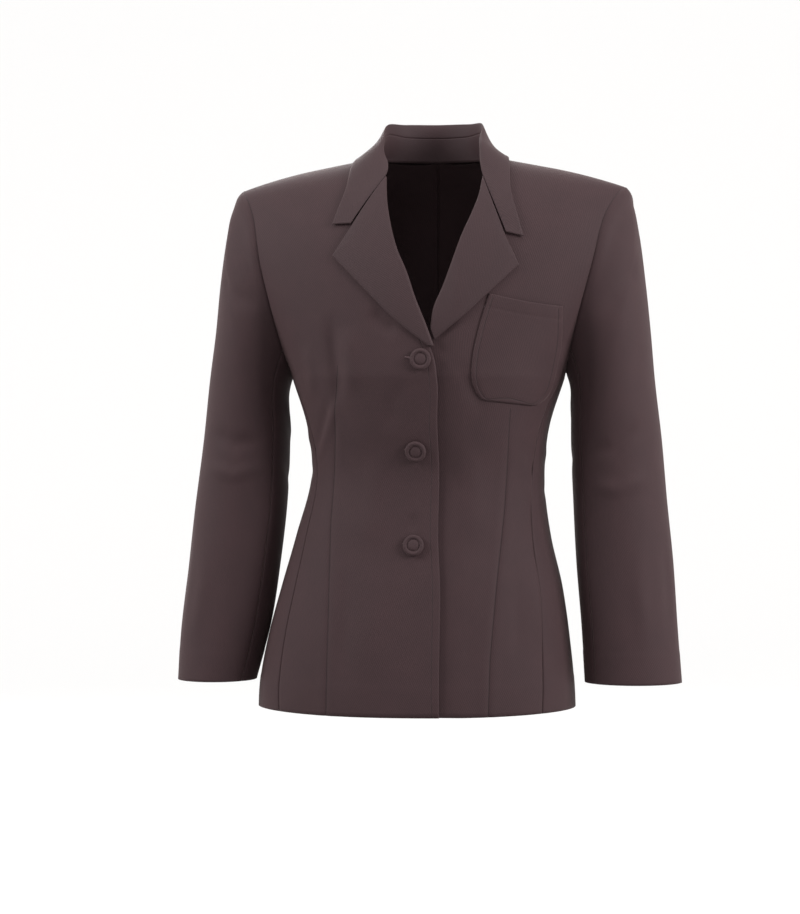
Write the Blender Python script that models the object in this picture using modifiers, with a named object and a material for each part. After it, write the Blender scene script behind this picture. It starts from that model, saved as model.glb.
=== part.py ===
"""Single breasted blazer for a woman, in the hollow shape it has when it is worn.

Metres, +Z up. The front faces -Y, the wearer's left is +X. The origin lies on the centre plane between
the two points where the neck seam meets the shoulder seams, which is where the wearer's shoulders carry
the coat. Every cloth piece is an open surface with its outer side where the cloth's face is, and a
Solidify modifier gives it its thickness towards the inside.
"""

import math

import bpy
import numpy as np
from mathutils.bvhtree import BVHTree

# Cloth and seams.
CLOTH = 0.0016
SEAM = 0.00035
LAY_GAP = 0.0007
POCKET_GAP = 0.0014
FOLD_RADIUS = 0.0028
FOLD_CLEAR = 0.0012
FOLD_GAP_RIGHT = 0.0016
FOLD_GAP_LEFT = 0.0019

# The torso's horizontal sections from the hem up to the bust line, each a superellipse.
HEM_Z = -0.611
SIDE_HEM_RISE = 0.0045
BUST_Z = -0.245
SECTION_POWER = 2.3
TORSO_COLUMNS = ("height", "centre", "half_width", "front_depth", "back_depth")
TORSO = (
    (-0.640, -0.0190, 0.1780, 0.113, 0.119),  # below the hem
    (-0.582, -0.0190, 0.1758, 0.113, 0.119),  # seat
    (-0.529, -0.0168, 0.1680, 0.110, 0.117),
    (-0.475, -0.0134, 0.1568, 0.104, 0.110),  # hip bone
    (-0.421, -0.0118, 0.1428, 0.096, 0.100),
    (-0.347, -0.0064, 0.1302, 0.093, 0.089),  # waist
    (-0.300, -0.0062, 0.1350, 0.105, 0.093),
    (-0.245, -0.0060, 0.1520, 0.118, 0.100),  # bust
)

# Above the bust each section spreads towards the padded shoulders, by its share of the way up.
YOKE_COLUMNS = ("share", "half_width")
YOKE = ((0.0, 0.152), (0.04, 0.161), (0.12, 0.178), (0.33, 0.213), (0.6, 0.229), (1.0, 0.235))
RIDGE_Y = 0.006
RIDGE_TOP = 0.0147
RIDGE_SLOPE = 0.19
PAD_DROP = 0.9
PAD_START = 0.13
FRONT_POWERS = (0.85, 0.85)
BACK_POWERS = (0.75, 0.60)
SIDE_BLEND = (math.radians(60.0), math.radians(120.0))

# Armhole, an ellipse as seen from the side.
ARMHOLE_Z = -0.1357
ARMHOLE_FRONT_DEPTH = 0.068
ARMHOLE_BACK_DEPTH = 0.053
ARMHOLE_HEIGHT = 0.1033
TURN_STEP = math.radians(10.0)
FRONT_SEAM_STEPS = 15
BACK_SEAM_STEPS = 23
TOP_STEPS = 36
SIDE_FRONT_PHI = (math.radians(52.0), math.radians(62.0), math.radians(74.0))
SIDE_BACK_PHI = (math.radians(126.0), math.radians(124.0), math.radians(118.0))
SIDE_SEAM_LEVELS = (-0.35, -0.05)
NECK_POINT_X = 0.070
NAPE_Y = 0.0545
NEARLY_ZERO = 1e-7

# Front edges and break lines, as seen from the front. The right front laps over the left one.
LAP_DROP = 0.0040
LAP_RAMP = 0.028
EDGE_COLUMNS = ("x", "z")
RIGHT_EDGE = ((0.0162, -0.611), (0.0168, -0.500), (0.0137, -0.420), (0.0137, -0.300), (0.0134, -0.236))
LEFT_EDGE = ((-0.040, -0.611), (-0.036, -0.500), (-0.036, -0.420), (-0.034, -0.300), (-0.030, -0.236))
RIGHT_ROLL = (
    (0.0112, -0.2130),
    (0.0035, -0.1920),
    (-0.0096, -0.1596),
    (-0.0186, -0.1334),
    (-0.0301, -0.1070),
    (-0.0377, -0.0802),
    (-0.0425, -0.0560),
    (-0.0455, -0.0269),
)
LEFT_ROLL = (
    (0.0068, -0.1930),
    (0.0100, -0.1726),
    (0.0205, -0.1467),
    (0.0297, -0.1206),
    (0.0388, -0.0942),
    (0.0498, -0.0673),
    (0.0560, -0.0490),
    (0.0590, -0.0276),
)
RIGHT_LAPEL_EDGE = ((0.0052, -0.2135), (-0.0376, -0.1790), (-0.0587, -0.1575), (-0.1009, -0.1150))
LEFT_LAPEL_EDGE = ((0.0115, -0.2065), (0.0422, -0.1812), (0.0697, -0.1552), (0.1008, -0.1255))
RIGHT_NOTCH = (-0.0800, -0.0815)
LEFT_NOTCH = (0.0850, -0.0920)
LAPEL_LIFT_END = 0.0042

# Collar stations from the nape to the break line, as the five points that shape each cross-section:
# the neck seam, the fold's inner edge, two handles of the fold's curve and the leaf's outer edge.
COLLAR_BACK = (
    (
        (0.0000, 0.0520, 0.0052),
        (0.0000, 0.0515, 0.0300),
        (0.0000, 0.0490, 0.0620),
        (0.0000, 0.0630, 0.0450),
        (0.0000, 0.0710, -0.0060),
    ),
    (
        (0.0460, 0.0370, 0.0050),
        (0.0330, 0.0400, 0.0300),
        (0.0310, 0.0385, 0.0620),
        (0.0400, 0.0500, 0.0400),
        (0.0500, 0.0590, -0.0025),
    ),
    (
        (0.0672, 0.0060, 0.0032),
        (0.0530, 0.0080, 0.0290),
        (0.0520, 0.0080, 0.0640),
        (0.0580, 0.0080, 0.0090),
        (0.0800, 0.0080, 0.0038),
    ),
    (
        (0.0645, -0.0290, -0.0015),
        (0.0535, -0.0270, 0.0100),
        (0.0505, -0.0290, 0.0280),
        (0.0600, -0.0310, 0.0140),
        (0.0868, -0.0310, -0.0040),
    ),
)
COLLAR_LIFT = 0.0036
GORGE_GAP = 0.0017
GORGE_SHARES = (0.05, 0.5, 1.0)
STAND_LEAST = 0.013
STAND_BEND = 0.3
STAND_SHARE = 0.965
COLLAR_FRONT_EDGE = (0.0905, -0.0440)
RIGHT_TIP = (-0.1023, -0.0800)
LEFT_TIP = (0.1052, -0.0945)

# Sleeves, as outer and inner edges seen from the front, with the depth and centre seen from the side.
SLEEVE_COLUMNS = ("height", "outer", "inner", "half_depth", "centre_y")
RIGHT_SLEEVE = (
    (-0.582, -0.2862, -0.2010, 0.052, -0.004),
    (-0.520, -0.2816, -0.1850, 0.054, 0.000),
    (-0.448, -0.2744, -0.1745, 0.057, 0.005),
    (-0.381, -0.2666, -0.1675, 0.060, 0.008),
    (-0.314, -0.2576, -0.1648, 0.063, 0.008),
    (-0.246, -0.2509, -0.1665, 0.066, 0.006),
    (-0.193, -0.2453, -0.1665, 0.068, 0.004),
    (-0.139, -0.2408, -0.1650, 0.069, 0.004),
    (-0.085, -0.2330, -0.1650, 0.069, 0.004),
    (-0.056, -0.2272, -0.1650, 0.068, 0.004),
    (-0.031, -0.2165, -0.1650, 0.066, 0.004),
)
LEFT_SLEEVE = (
    (-0.582, 0.2745, 0.1690, 0.052, -0.004),
    (-0.520, 0.2690, 0.1650, 0.054, 0.000),
    (-0.448, 0.2643, 0.1590, 0.057, 0.005),
    (-0.381, 0.2576, 0.1555, 0.060, 0.008),
    (-0.314, 0.2520, 0.1530, 0.063, 0.008),
    (-0.246, 0.2464, 0.1540, 0.066, 0.006),
    (-0.193, 0.2419, 0.1550, 0.068, 0.004),
    (-0.139, 0.2363, 0.1560, 0.069, 0.004),
    (-0.085, 0.2292, 0.1570, 0.069, 0.004),
    (-0.056, 0.2235, 0.1580, 0.068, 0.004),
    (-0.031, 0.2150, 0.1580, 0.066, 0.004),
)
CUFF_Z = -0.582
CAP_BLEND = (0.030, 0.090)
SLEEVE_ROW_POWER = 1.35
SLEEVE_GAP = 0.0010
INSEAM_STEPS = 14
BACK_ARM_STEPS = 24

# Patch pocket on the left breast, as seen from the front: its two sides from the mouth down.
POCKET_COLUMNS = ("left_x", "left_z", "right_x", "right_z")
POCKET = (
    (0.0695, -0.1568, 0.1470, -0.1690),
    (0.0592, -0.1925, 0.1450, -0.2080),
    (0.0518, -0.2280, 0.1385, -0.2400),
    (0.0500, -0.2700, 0.1285, -0.2780),
)
POCKET_CORNER_SHARE = 0.22
POCKET_CORNER_INSET = 0.21

# Buttons on the right front: a rimmed disc covered with the same cloth. The profile is given as the
# share of the radius and the height, from the top's centre over the rim to the back's centre.
BUTTONS = ((-0.0032, -0.2275), (-0.0105, -0.3262), (-0.0130, -0.4284))
BUTTON_RADIUS = 0.0115
BUTTON_PROFILE = (
    (0.00, 0.0052),
    (0.36, 0.0048),
    (0.52, 0.0036),
    (0.60, 0.0032),
    (0.72, 0.0044),
    (0.86, 0.0046),
    (0.97, 0.0034),
    (1.00, 0.0020),
    (0.94, 0.0008),
    (0.30, 0.0000),
    (0.00, 0.0000),
)
BUTTON_STEPS = 16

COAT_COLOUR = (0.066, 0.042, 0.043, 1.0)
BUTTON_COLOUR = (0.062, 0.040, 0.041, 1.0)
CLOTH_ROUGHNESS = 0.85

# Facets: up the torso below the armholes, down a sleeve, and over each of the other pieces.
LOW_ROWS = 9
RIGHT_FRONT_COLUMNS = 8
LEFT_FRONT_COLUMNS = 10
BACK_COLUMNS = (4, 5)  # along the neckline and the shoulder
SLEEVE_ROWS = 8
LAPEL_ROWS = (8, 3)  # below and above the tip
LAPEL_COLUMNS = (4, 4)  # round the fold and over the flat
COLLAR_ROWS = 24
LEAF_COLUMNS = 7
STAND_COLUMNS = 3
POCKET_ROWS = 9
POCKET_STEPS = 10
POCKET_ROW_POWER = 0.85

# How often a solution is improved, and the small step that a surface's slope is taken over.
PLACE_ROUNDS = 12
HALVINGS = 50
NECKLINE_ROUNDS = 20
SLOPE_STEP = 0.0005


def smooth(places, values, at):
    """Reads a smooth curve through the table's values at the given places."""
    places = np.asarray(places, float)
    values = np.asarray(values, float)
    steps = np.diff(places)
    slopes = np.diff(values) / steps
    tangents = np.empty_like(values)
    tangents[1:-1] = (slopes[:-1] * steps[1:] + slopes[1:] * steps[:-1]) / (steps[1:] + steps[:-1])
    tangents[0] = slopes[0]
    tangents[-1] = slopes[-1]
    index = np.clip(np.searchsorted(places, at) - 1, 0, len(steps) - 1)
    share = (at - places[index]) / steps[index]
    start = values[index] * (2 * share**3 - 3 * share**2 + 1)
    end = values[index + 1] * (3 * share**2 - 2 * share**3)
    leave = tangents[index] * steps[index] * (share**3 - 2 * share**2 + share)
    arrive = tangents[index + 1] * steps[index] * (share**3 - share**2)
    return start + end + leave + arrive


def column(table, names, name):
    return np.array([row[names.index(name)] for row in table], float)


def smoothstep(value):
    value = np.clip(value, 0.0, 1.0)
    return value * value * (3 - 2 * value)


def torso_size(name, height):
    return smooth(column(TORSO, TORSO_COLUMNS, "height"), column(TORSO, TORSO_COLUMNS, name), height)


def yoke_width(share):
    return smooth(column(YOKE, YOKE_COLUMNS, "share"), column(YOKE, YOKE_COLUMNS, "half_width"), share)


def shoulder_height(side):
    """The height of the shoulder's ridge at a distance from the centre plane."""
    return RIDGE_TOP - RIDGE_SLOPE * side - PAD_DROP * np.maximum(side - PAD_START, 0.0) ** 2


def yoke_powers(angle):
    """The powers of the yoke's profile, which change from the front's to the back's across the side."""
    start, end = SIDE_BLEND
    back = smoothstep((np.abs(angle) - start) / (end - start))
    return [front + (rear - front) * back for front, rear in zip(FRONT_POWERS, BACK_POWERS, strict=True)]


def torso_point(angle, level):
    """A point of the torso's outer surface.

    The angle runs round from the front's centre (0) past the left side to the back's centre (pi). The
    level runs from -1 under the hem through 0 at the bust line to 1 on the shoulder's ridge.
    """
    angle, level = np.broadcast_arrays(np.asarray(angle, float), np.asarray(level, float))
    sine = np.sin(angle)
    cosine = np.cos(angle)
    front = cosine > 0
    across = np.sign(sine) * np.abs(sine) ** (2 / SECTION_POWER)
    through = np.abs(cosine) ** (2 / SECTION_POWER)
    height = BUST_Z + np.minimum(level, 0.0) * (BUST_Z - TORSO[0][0])
    share = np.maximum(level, 0.0)
    width = np.where(level > 0, yoke_width(share), torso_size("half_width", height))
    centre = torso_size("centre", height) * (1 - share)
    side = width * across
    depth = np.where(front, -torso_size("front_depth", height), torso_size("back_depth", height)) * through
    rise_power, reach_power = yoke_powers(angle)
    rise = np.sin(share * math.pi / 2) ** rise_power
    reach = np.maximum(np.cos(share * math.pi / 2), 0.0) ** reach_power
    top = shoulder_height(np.abs(side))
    z = np.where(level > 0, BUST_Z + (top - BUST_Z) * rise, height)
    y = np.where(level > 0, RIDGE_Y + (depth - RIDGE_Y) * reach, depth)
    return np.stack([side + centre, y, z], -1)


def level_at(side, height, rise_power):
    """The level at which the torso reaches this height, at a distance from the centre plane."""
    rise = np.clip((height - BUST_Z) / (shoulder_height(np.abs(side)) - BUST_Z), 0.0, 1.0)
    share = np.arcsin(rise ** (1 / rise_power)) * 2 / math.pi
    return np.where(height > BUST_Z, share, (height - BUST_Z) / (BUST_Z - TORSO[0][0]))


def on_front(x, z):
    """The angle and level of the front's point that is seen at x, z from the front."""
    x = np.asarray(x, float)
    z = np.asarray(z, float)
    side = x
    for _ in range(PLACE_ROUNDS):
        level = level_at(side, z, FRONT_POWERS[0])
        share = np.maximum(level, 0.0)
        lower = np.minimum(z, BUST_Z)
        centre = torso_size("centre", lower) * (1 - share)
        width = np.where(level > 0, yoke_width(share), torso_size("half_width", lower))
        side = x - centre
    across = np.clip(side / width, -0.9999, 0.9999)
    return np.arcsin(np.sign(across) * np.abs(across) ** (SECTION_POWER / 2)), level


def on_armhole(turn):
    """The angle and level of the left armhole's point, where turn 0 is its top and pi / 2 its front.

    At the point's height, the torso's depth grows steadily with the angle, so halving finds the angle.
    """
    turn = np.asarray(turn, float)
    back = np.sin(turn) < 0
    y = RIDGE_Y - np.where(back, ARMHOLE_BACK_DEPTH, ARMHOLE_FRONT_DEPTH) * np.sin(turn)
    z = ARMHOLE_Z + ARMHOLE_HEIGHT * np.cos(turn)
    low = np.where(back, 1.0, 0.0)
    high = np.where(back, math.pi, 2.0)
    for _ in range(HALVINGS):
        angle = 0.5 * (low + high)
        level = np.full_like(angle, 0.3)
        for _ in range(PLACE_ROUNDS):
            side = yoke_width(level) * np.sin(angle) ** (2 / SECTION_POWER)
            level = level_at(side, z, yoke_powers(angle)[0])
        depth = torso_point(angle, level)[..., 1]
        beyond = np.where(back, depth > y + NEARLY_ZERO, depth > y - NEARLY_ZERO)
        high = np.where(beyond, angle, high)
        low = np.where(beyond, low, angle)
    return angle, level


def pair(angle, level):
    return np.stack(np.broadcast_arrays(np.asarray(angle, float), np.asarray(level, float)), -1)


def spaced(points, count):
    """Points at equal steps along a smooth line through the given points."""
    points = np.asarray(points, float)
    gaps = np.linalg.norm(np.diff(points, axis=0), axis=1)
    run = np.concatenate([[0.0], np.cumsum(gaps)])
    at = np.linspace(0.0, run[-1], count)
    if len(points) == 2:
        return points[0] + (points[1] - points[0]) * (at / run[-1])[:, None]
    return np.stack([smooth(run, points[:, axis], at) for axis in range(points.shape[1])], -1)


def patch(bottom, top, left, right):
    """A Coons patch between four border lines of angles and levels; rows run up, columns run across."""
    rows = len(left)
    columns = len(bottom)
    up = np.linspace(0.0, 1.0, rows)[:, None, None]
    over = np.linspace(0.0, 1.0, columns)[None, :, None]
    ruled_up = (1 - up) * bottom[None] + up * top[None]
    ruled_over = (1 - over) * left[:, None] + over * right[:, None]
    low = (1 - over) * bottom[0] + over * bottom[-1]
    high = (1 - over) * top[0] + over * top[-1]
    return ruled_up + ruled_over - (1 - up) * low - up * high


def inset(grid, amount=SEAM):
    """Draws the borders of a grid of points in by the seam's share, along its own rows and columns."""
    grid = grid.copy()
    for axis in (0, 1):
        lines = np.moveaxis(grid, axis, 0)
        first = lines[1] - lines[0]
        last = lines[-2] - lines[-1]
        lines[0] += amount * first / np.linalg.norm(first, axis=-1, keepdims=True)
        lines[-1] += amount * last / np.linalg.norm(last, axis=-1, keepdims=True)
    return grid


def normals_of(grid):
    """Unit normals of a grid, taken across its columns and up its rows."""
    across = np.gradient(grid, axis=1)
    upward = np.gradient(grid, axis=0)
    normal = np.cross(across, upward)
    return normal / np.linalg.norm(normal, axis=-1, keepdims=True)


def front_surface(x, z, lift):
    """Points over the front at x, z, lifted off its surface along the surface's own normal."""
    angle, level = on_front(x, z)
    point = torso_point(angle, level)
    beside = torso_point(*on_front(x + SLOPE_STEP, z))
    above = torso_point(*on_front(x, z + SLOPE_STEP))
    normal = np.cross(beside - point, above - point)
    normal /= np.linalg.norm(normal, axis=-1, keepdims=True)
    return point + normal * np.asarray(lift)[..., None]


def lap_drop(x, z):
    """How far the left front lies inside the torso's surface where the right front covers it."""
    edge = np.interp(z, column(RIGHT_EDGE, EDGE_COLUMNS, "z"), column(RIGHT_EDGE, EDGE_COLUMNS, "x"))
    return LAP_DROP * smoothstep((edge + LAP_RAMP - x) / LAP_RAMP)


def coat_collection():
    for obj in list(bpy.data.objects):
        bpy.data.objects.remove(obj, do_unlink=True)
    collection = bpy.data.collections.new("single_breasted_blazer")
    bpy.context.scene.collection.children.link(collection)
    return collection


def material(name, colour):
    made = bpy.data.materials.new(name)
    made.use_nodes = True
    shader = made.node_tree.nodes["Principled BSDF"]
    shader.inputs["Base Color"].default_value = colour
    shader.inputs["Roughness"].default_value = CLOTH_ROUGHNESS
    shader.inputs["Metallic"].default_value = 0.0
    made.diffuse_color = colour
    return made


def cloth_panel(name, grid, collection):
    """An open grid surface whose faces look outwards, thickened inwards."""
    rows, columns = grid.shape[:2]
    mesh = bpy.data.meshes.new(name)
    index = np.arange(rows * columns).reshape(rows, columns)
    corners = (index[:-1, :-1], index[:-1, 1:], index[1:, 1:], index[1:, :-1])
    faces = np.stack([corner.ravel() for corner in corners], -1)
    mesh.from_pydata(grid.reshape(-1, 3).tolist(), [], faces.tolist())
    mesh.shade_smooth()
    mesh.materials.append(material(name, COAT_COLOUR))
    obj = bpy.data.objects.new(name, mesh)
    collection.objects.link(obj)
    thickness = obj.modifiers.new("Cloth", "SOLIDIFY")
    thickness.thickness = CLOTH
    thickness.offset = -1.0
    return obj


def hem_line(first, last, count):
    """The hem between two angles: lowest at the centres and a little higher at the sides."""
    angle = np.linspace(first, last, count)
    height = HEM_Z + SIDE_HEM_RISE * np.sin(angle) ** 2
    return pair(angle, (height - BUST_Z) / (BUST_Z - TORSO[0][0]))


def side_seam(phis, steps, count):
    """The seam from the hem up to the armhole, which it meets after the given number of turn steps."""
    angle, level = on_armhole(np.array([steps * TURN_STEP]))
    low = hem_line(phis[0], phis[0], 2)[0]
    knots = pair([*phis, angle[0]], [low[1], *SIDE_SEAM_LEVELS, level[0]])
    return spaced(knots, count)


def armhole_line(start, end):
    """The armhole between two numbers of turn steps, with a point at each step."""
    turns = np.linspace(start, end, abs(end - start) + 1) * TURN_STEP
    return pair(*on_armhole(turns))


def front_panel(edge, roll, side, fold_gap, columns):
    """One front: its own edge and break line on one side, the side seam and armhole on the other."""
    inward = (FOLD_RADIUS + fold_gap) * side
    outline = list(edge) + [(x + inward, z) for x, z in roll] + [(side * NECK_POINT_X, 0.0)]
    x, z = np.array(outline).T
    angle, level = on_front(x, np.minimum(z, shoulder_height(np.abs(x))))
    angle[-1] = side * np.arcsin((NECK_POINT_X / yoke_width(1.0)) ** (SECTION_POWER / 2))
    level[-1] = 1.0
    low = len(edge)
    below = spaced(pair(angle[: low + 1], level[: low + 1]), LOW_ROWS + 1)
    above = spaced(pair(angle[low:], level[low:]), FRONT_SEAM_STEPS + 1)
    inner = np.concatenate([below, above[1:]])
    seam = side_seam(SIDE_FRONT_PHI, FRONT_SEAM_STEPS, LOW_ROWS + 1)
    hole = armhole_line(FRONT_SEAM_STEPS, 0)
    outer = np.concatenate([seam, hole[1:]]) * (side, 1.0)
    hem = hem_line(inner[0, 0], outer[0, 0], columns + 1)
    top = spaced([inner[-1], outer[-1]], columns + 1)
    inner[0] = hem[0]
    grid = patch(hem, top, inner, outer)
    points = torso_point(grid[..., 0], grid[..., 1])
    if side < 0:
        points = points[:, ::-1]
    else:
        points = points - normals_of(points) * lap_drop(points[..., 0], points[..., 2])[..., None]
    return inset(points)


def side_panel():
    """The panel under the arm, from the front's seam to the back's."""
    left = side_seam(SIDE_FRONT_PHI, FRONT_SEAM_STEPS, LOW_ROWS + 1)
    right = side_seam(SIDE_BACK_PHI, BACK_SEAM_STEPS, LOW_ROWS + 1)
    top = armhole_line(FRONT_SEAM_STEPS, BACK_SEAM_STEPS)
    bottom = hem_line(left[0, 0], right[0, 0], len(top))
    return patch(bottom, top, left, right)


def neckline(count):
    """The back neckline from the shoulder seam to the nape, a quarter ellipse as seen from above."""
    turn = np.linspace(0.0, math.pi / 2, count + 1)[1:]
    side = NECK_POINT_X * np.cos(turn)
    y = RIDGE_Y + (NAPE_Y - RIDGE_Y) * np.sin(turn)
    level = np.full(count, 0.9)
    for _ in range(NECKLINE_ROUNDS):
        across = side / yoke_width(level)
        angle = math.pi - np.arcsin(across ** (SECTION_POWER / 2))
        depth = torso_size("back_depth", BUST_Z) * np.abs(np.cos(angle)) ** (2 / SECTION_POWER)
        reach = (y - RIDGE_Y) / (depth - RIDGE_Y)
        level = np.arccos(reach ** (1 / BACK_POWERS[1])) * 2 / math.pi
    return pair(angle, level)


def back_panel(columns):
    """Half the back, from the side seam and armhole to the centre seam, with its neckline and shoulder."""
    neck_columns, shoulder_columns = columns
    seam = side_seam(SIDE_BACK_PHI, BACK_SEAM_STEPS, LOW_ROWS + 1)
    hole = armhole_line(BACK_SEAM_STEPS, TOP_STEPS)
    outer = np.concatenate([seam, hole[1:]])
    neck_angle = math.pi - np.arcsin((NECK_POINT_X / yoke_width(1.0)) ** (SECTION_POWER / 2))
    shoulder = spaced([outer[-1], (neck_angle, 1.0)], shoulder_columns + 1)
    top = np.concatenate([shoulder, neckline(neck_columns)])
    centre = pair(math.pi, np.linspace(hem_line(math.pi, math.pi, 2)[0, 1], top[-1, 1], len(outer)))
    hem = hem_line(outer[0, 0], math.pi, len(top))
    return patch(hem, top, outer, centre)


def as_side(grid, side):
    """A torso patch of the left side as points, or as its mirror image about the leaning centre."""
    angle = grid[..., 0] * side
    points = torso_point(angle, grid[..., 1])
    return inset(points if side > 0 else points[:, ::-1])


def sleeve_size(table, name, height):
    heights = column(table, SLEEVE_COLUMNS, "height")
    return smooth(heights, column(table, SLEEVE_COLUMNS, name), height)


def sleeve_tube(table, turn, height):
    """A point of the sleeve's plain tube; turn 0 is its outer side and pi / 2 its front."""
    outer = sleeve_size(table, "outer", height)
    inner = sleeve_size(table, "inner", height)
    x = 0.5 * (outer + inner) + 0.5 * (outer - inner) * np.cos(turn)
    y = sleeve_size(table, "centre_y", height) - sleeve_size(table, "half_depth", height) * np.sin(turn)
    return np.stack([x, y, height], -1)


def sleeve_panel(table, side, first, last):
    """The sleeve between two numbers of turn steps, eased from the armhole into its tube."""
    turn = np.linspace(first, last, last - first + 1)[None, :] * TURN_STEP
    angle, level = on_armhole(turn)
    hole = torso_point(angle * side, level)
    hole[..., 0] += side * SLEEVE_GAP
    share = np.linspace(0.0, 1.0, SLEEVE_ROWS + 1)[:, None] ** SLEEVE_ROW_POWER
    height = hole[..., 2] + (CUFF_Z - hole[..., 2]) * share
    blend = CAP_BLEND[0] + (CAP_BLEND[1] - CAP_BLEND[0]) * np.sin(turn) ** 2
    ease = np.clip(1 - (hole[..., 2] - height) / blend, 0.0, 1.0) ** 2
    tube = sleeve_tube(table, np.broadcast_to(turn, height.shape), height)
    start = sleeve_tube(table, turn, hole[..., 2])
    points = tube + (hole - start) * ease[..., None]
    if side > 0:
        points = points[:, ::-1]
    return inset(points)[::-1]


def lapel(roll, edge, notch, side):
    """A lapel from its roll round the fold and over the front to its outer edge, tip and notch."""
    below, above = LAPEL_ROWS
    fold_columns, flat_columns = LAPEL_COLUMNS
    tip = edge[-1]
    roll_line = spaced(roll, below + above + 1)
    outer = np.concatenate([spaced(edge, below + 1), spaced([tip, notch], above + 1)[1:]])
    across = outer - roll_line
    width = np.linalg.norm(across, axis=1)[:, None]
    turn = np.linspace(-math.pi / 2, math.pi / 2, fold_columns + 1)[:-1]
    fold_along = FOLD_RADIUS * (1 - np.cos(turn))
    fold_lift = FOLD_CLEAR + FOLD_RADIUS * np.sin(turn)
    flat = np.linspace(0.0, 1.0, flat_columns + 1)
    flat_along = FOLD_RADIUS + (width - FOLD_RADIUS) * flat[None, :]
    fold_top = FOLD_CLEAR + FOLD_RADIUS
    flat_lift = fold_top + (LAPEL_LIFT_END - fold_top) * flat
    along = np.concatenate([np.broadcast_to(fold_along, (len(width), len(turn))), flat_along], axis=1)
    lift = np.broadcast_to(np.concatenate([fold_lift, flat_lift]), along.shape)
    place = roll_line[:, None] + across[:, None] * (along / width)[..., None]
    x = place[..., 0]
    z = place[..., 1]
    if side > 0:
        lift = lift - lap_drop(x, z)
    points = front_surface(x, z, lift)
    if side < 0:
        points = points[:, ::-1]
    return inset(points)


def collar_stations(roll_end, notch, tip, side):
    """The collar's cross-sections on one side, from the nape to the end at the notch."""
    stations = [[(side * x, y, z) for x, y, z in row] for row in COLLAR_BACK]
    shoulder_edge = np.array((side * COLLAR_FRONT_EDGE[0], COLLAR_FRONT_EDGE[1]))
    for share in GORGE_SHARES:
        inner = np.array(roll_end) * (1 - share) + np.array(notch) * share
        inner += (side * GORGE_GAP * share, GORGE_GAP)
        outer = shoulder_edge * (1 - share) + np.array(tip) * share
        knots = inner + (outer - inner) * np.linspace(0.0, 1.0, 4)[:, None]
        leaf = front_surface(knots[:, 0], knots[:, 1], np.full(4, COLLAR_LIFT))
        stations.append([leaf[0], *leaf])
    return np.array(stations, float)


def collar_lines():
    """The five shaping points of the whole collar, at equal steps from its right end to its left end."""
    left = collar_stations(LEFT_ROLL[-1], LEFT_NOTCH, LEFT_TIP, 1.0)
    right = collar_stations(RIGHT_ROLL[-1], RIGHT_NOTCH, RIGHT_TIP, -1.0)
    stations = np.concatenate([right[::-1], left[1:]])
    middle = stations[:, 1:].mean(axis=1)
    run = np.concatenate([[0.0], np.cumsum(np.linalg.norm(np.diff(middle, axis=0), axis=1))])
    at = np.linspace(0.0, run[-1], COLLAR_ROWS + 1)
    flat = stations.reshape(len(stations), -1)
    return np.stack([smooth(run, values, at) for values in flat.T], -1).reshape(COLLAR_ROWS + 1, 5, 3)


def collar_leaf(lines):
    """The collar's leaf: over the fold round the neck, then flat on the fronts along the gorge."""
    share = np.linspace(0.0, 1.0, LEAF_COLUMNS + 1)[None, :, None]
    rest = 1 - share
    start, leave, arrive, end = (lines[:, None, index] for index in range(1, 5))
    points = rest**3 * start + 3 * rest**2 * share * leave + 3 * rest * share**2 * arrive + share**3 * end
    return inset(points)[:, ::-1]


def collar_stand(lines):
    """The band that stands up inside the collar, from the neck seam to the fold's inner edge."""
    seam = lines[:, 0]
    fold = lines[:, 1]
    tall = np.linalg.norm(fold - seam, axis=1) > STAND_LEAST
    over = np.linspace(0.0, STAND_SHARE, STAND_COLUMNS + 1)[None, :, None]
    rise = lines[:, 2] - fold
    bend = fold - rise * STAND_BEND
    points = seam[tall, None] * (1 - over) ** 2
    points = points + 2 * bend[tall, None] * over * (1 - over) + fold[tall, None] * over**2
    return inset(points)[:, ::-1]


def seat(panel, x, z, lift):
    """Points over a panel's own facets at x, z, moved out along the torso's normal."""
    rows, columns = panel.shape[:2]
    index = np.arange(rows * columns).reshape(rows, columns)
    corners = (index[:-1, :-1], index[:-1, 1:], index[1:, 1:], index[1:, :-1])
    quads = np.stack([corner.ravel() for corner in corners], -1)
    facets = BVHTree.FromPolygons(panel.reshape(-1, 3).tolist(), quads.tolist())
    outward = front_surface(x, z, 1.0) - front_surface(x, z, 0.0)
    hits = [facets.ray_cast((over, -1.0, up), (0.0, 1.0, 0.0))[0] for over, up in zip(x.flat, z.flat)]
    return np.array(hits).reshape(*x.shape, 3) + outward * lift


def pocket_panel(panel):
    """The patch pocket, laid on the left front, with rounded lower corners."""
    share = np.linspace(0.0, 1.0, POCKET_ROWS + 1) ** POCKET_ROW_POWER
    at = np.linspace(0.0, 1.0, len(POCKET))
    left_x = smooth(at, column(POCKET, POCKET_COLUMNS, "left_x"), share)
    left_z = smooth(at, column(POCKET, POCKET_COLUMNS, "left_z"), share)
    right_x = smooth(at, column(POCKET, POCKET_COLUMNS, "right_x"), share)
    right_z = smooth(at, column(POCKET, POCKET_COLUMNS, "right_z"), share)
    corner = np.clip((share - 1 + POCKET_CORNER_SHARE) / POCKET_CORNER_SHARE, 0.0, 1.0)
    cut = POCKET_CORNER_INSET * (1 - np.sqrt(1 - corner**2))
    over = cut[:, None] + (1 - 2 * cut[:, None]) * np.linspace(0.0, 1.0, POCKET_STEPS + 1)[None, :]
    x = left_x[:, None] + (right_x - left_x)[:, None] * over
    z = left_z[:, None] + (right_z - left_z)[:, None] * over
    return seat(panel, x, z, CLOTH + POCKET_GAP)[::-1]


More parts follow.
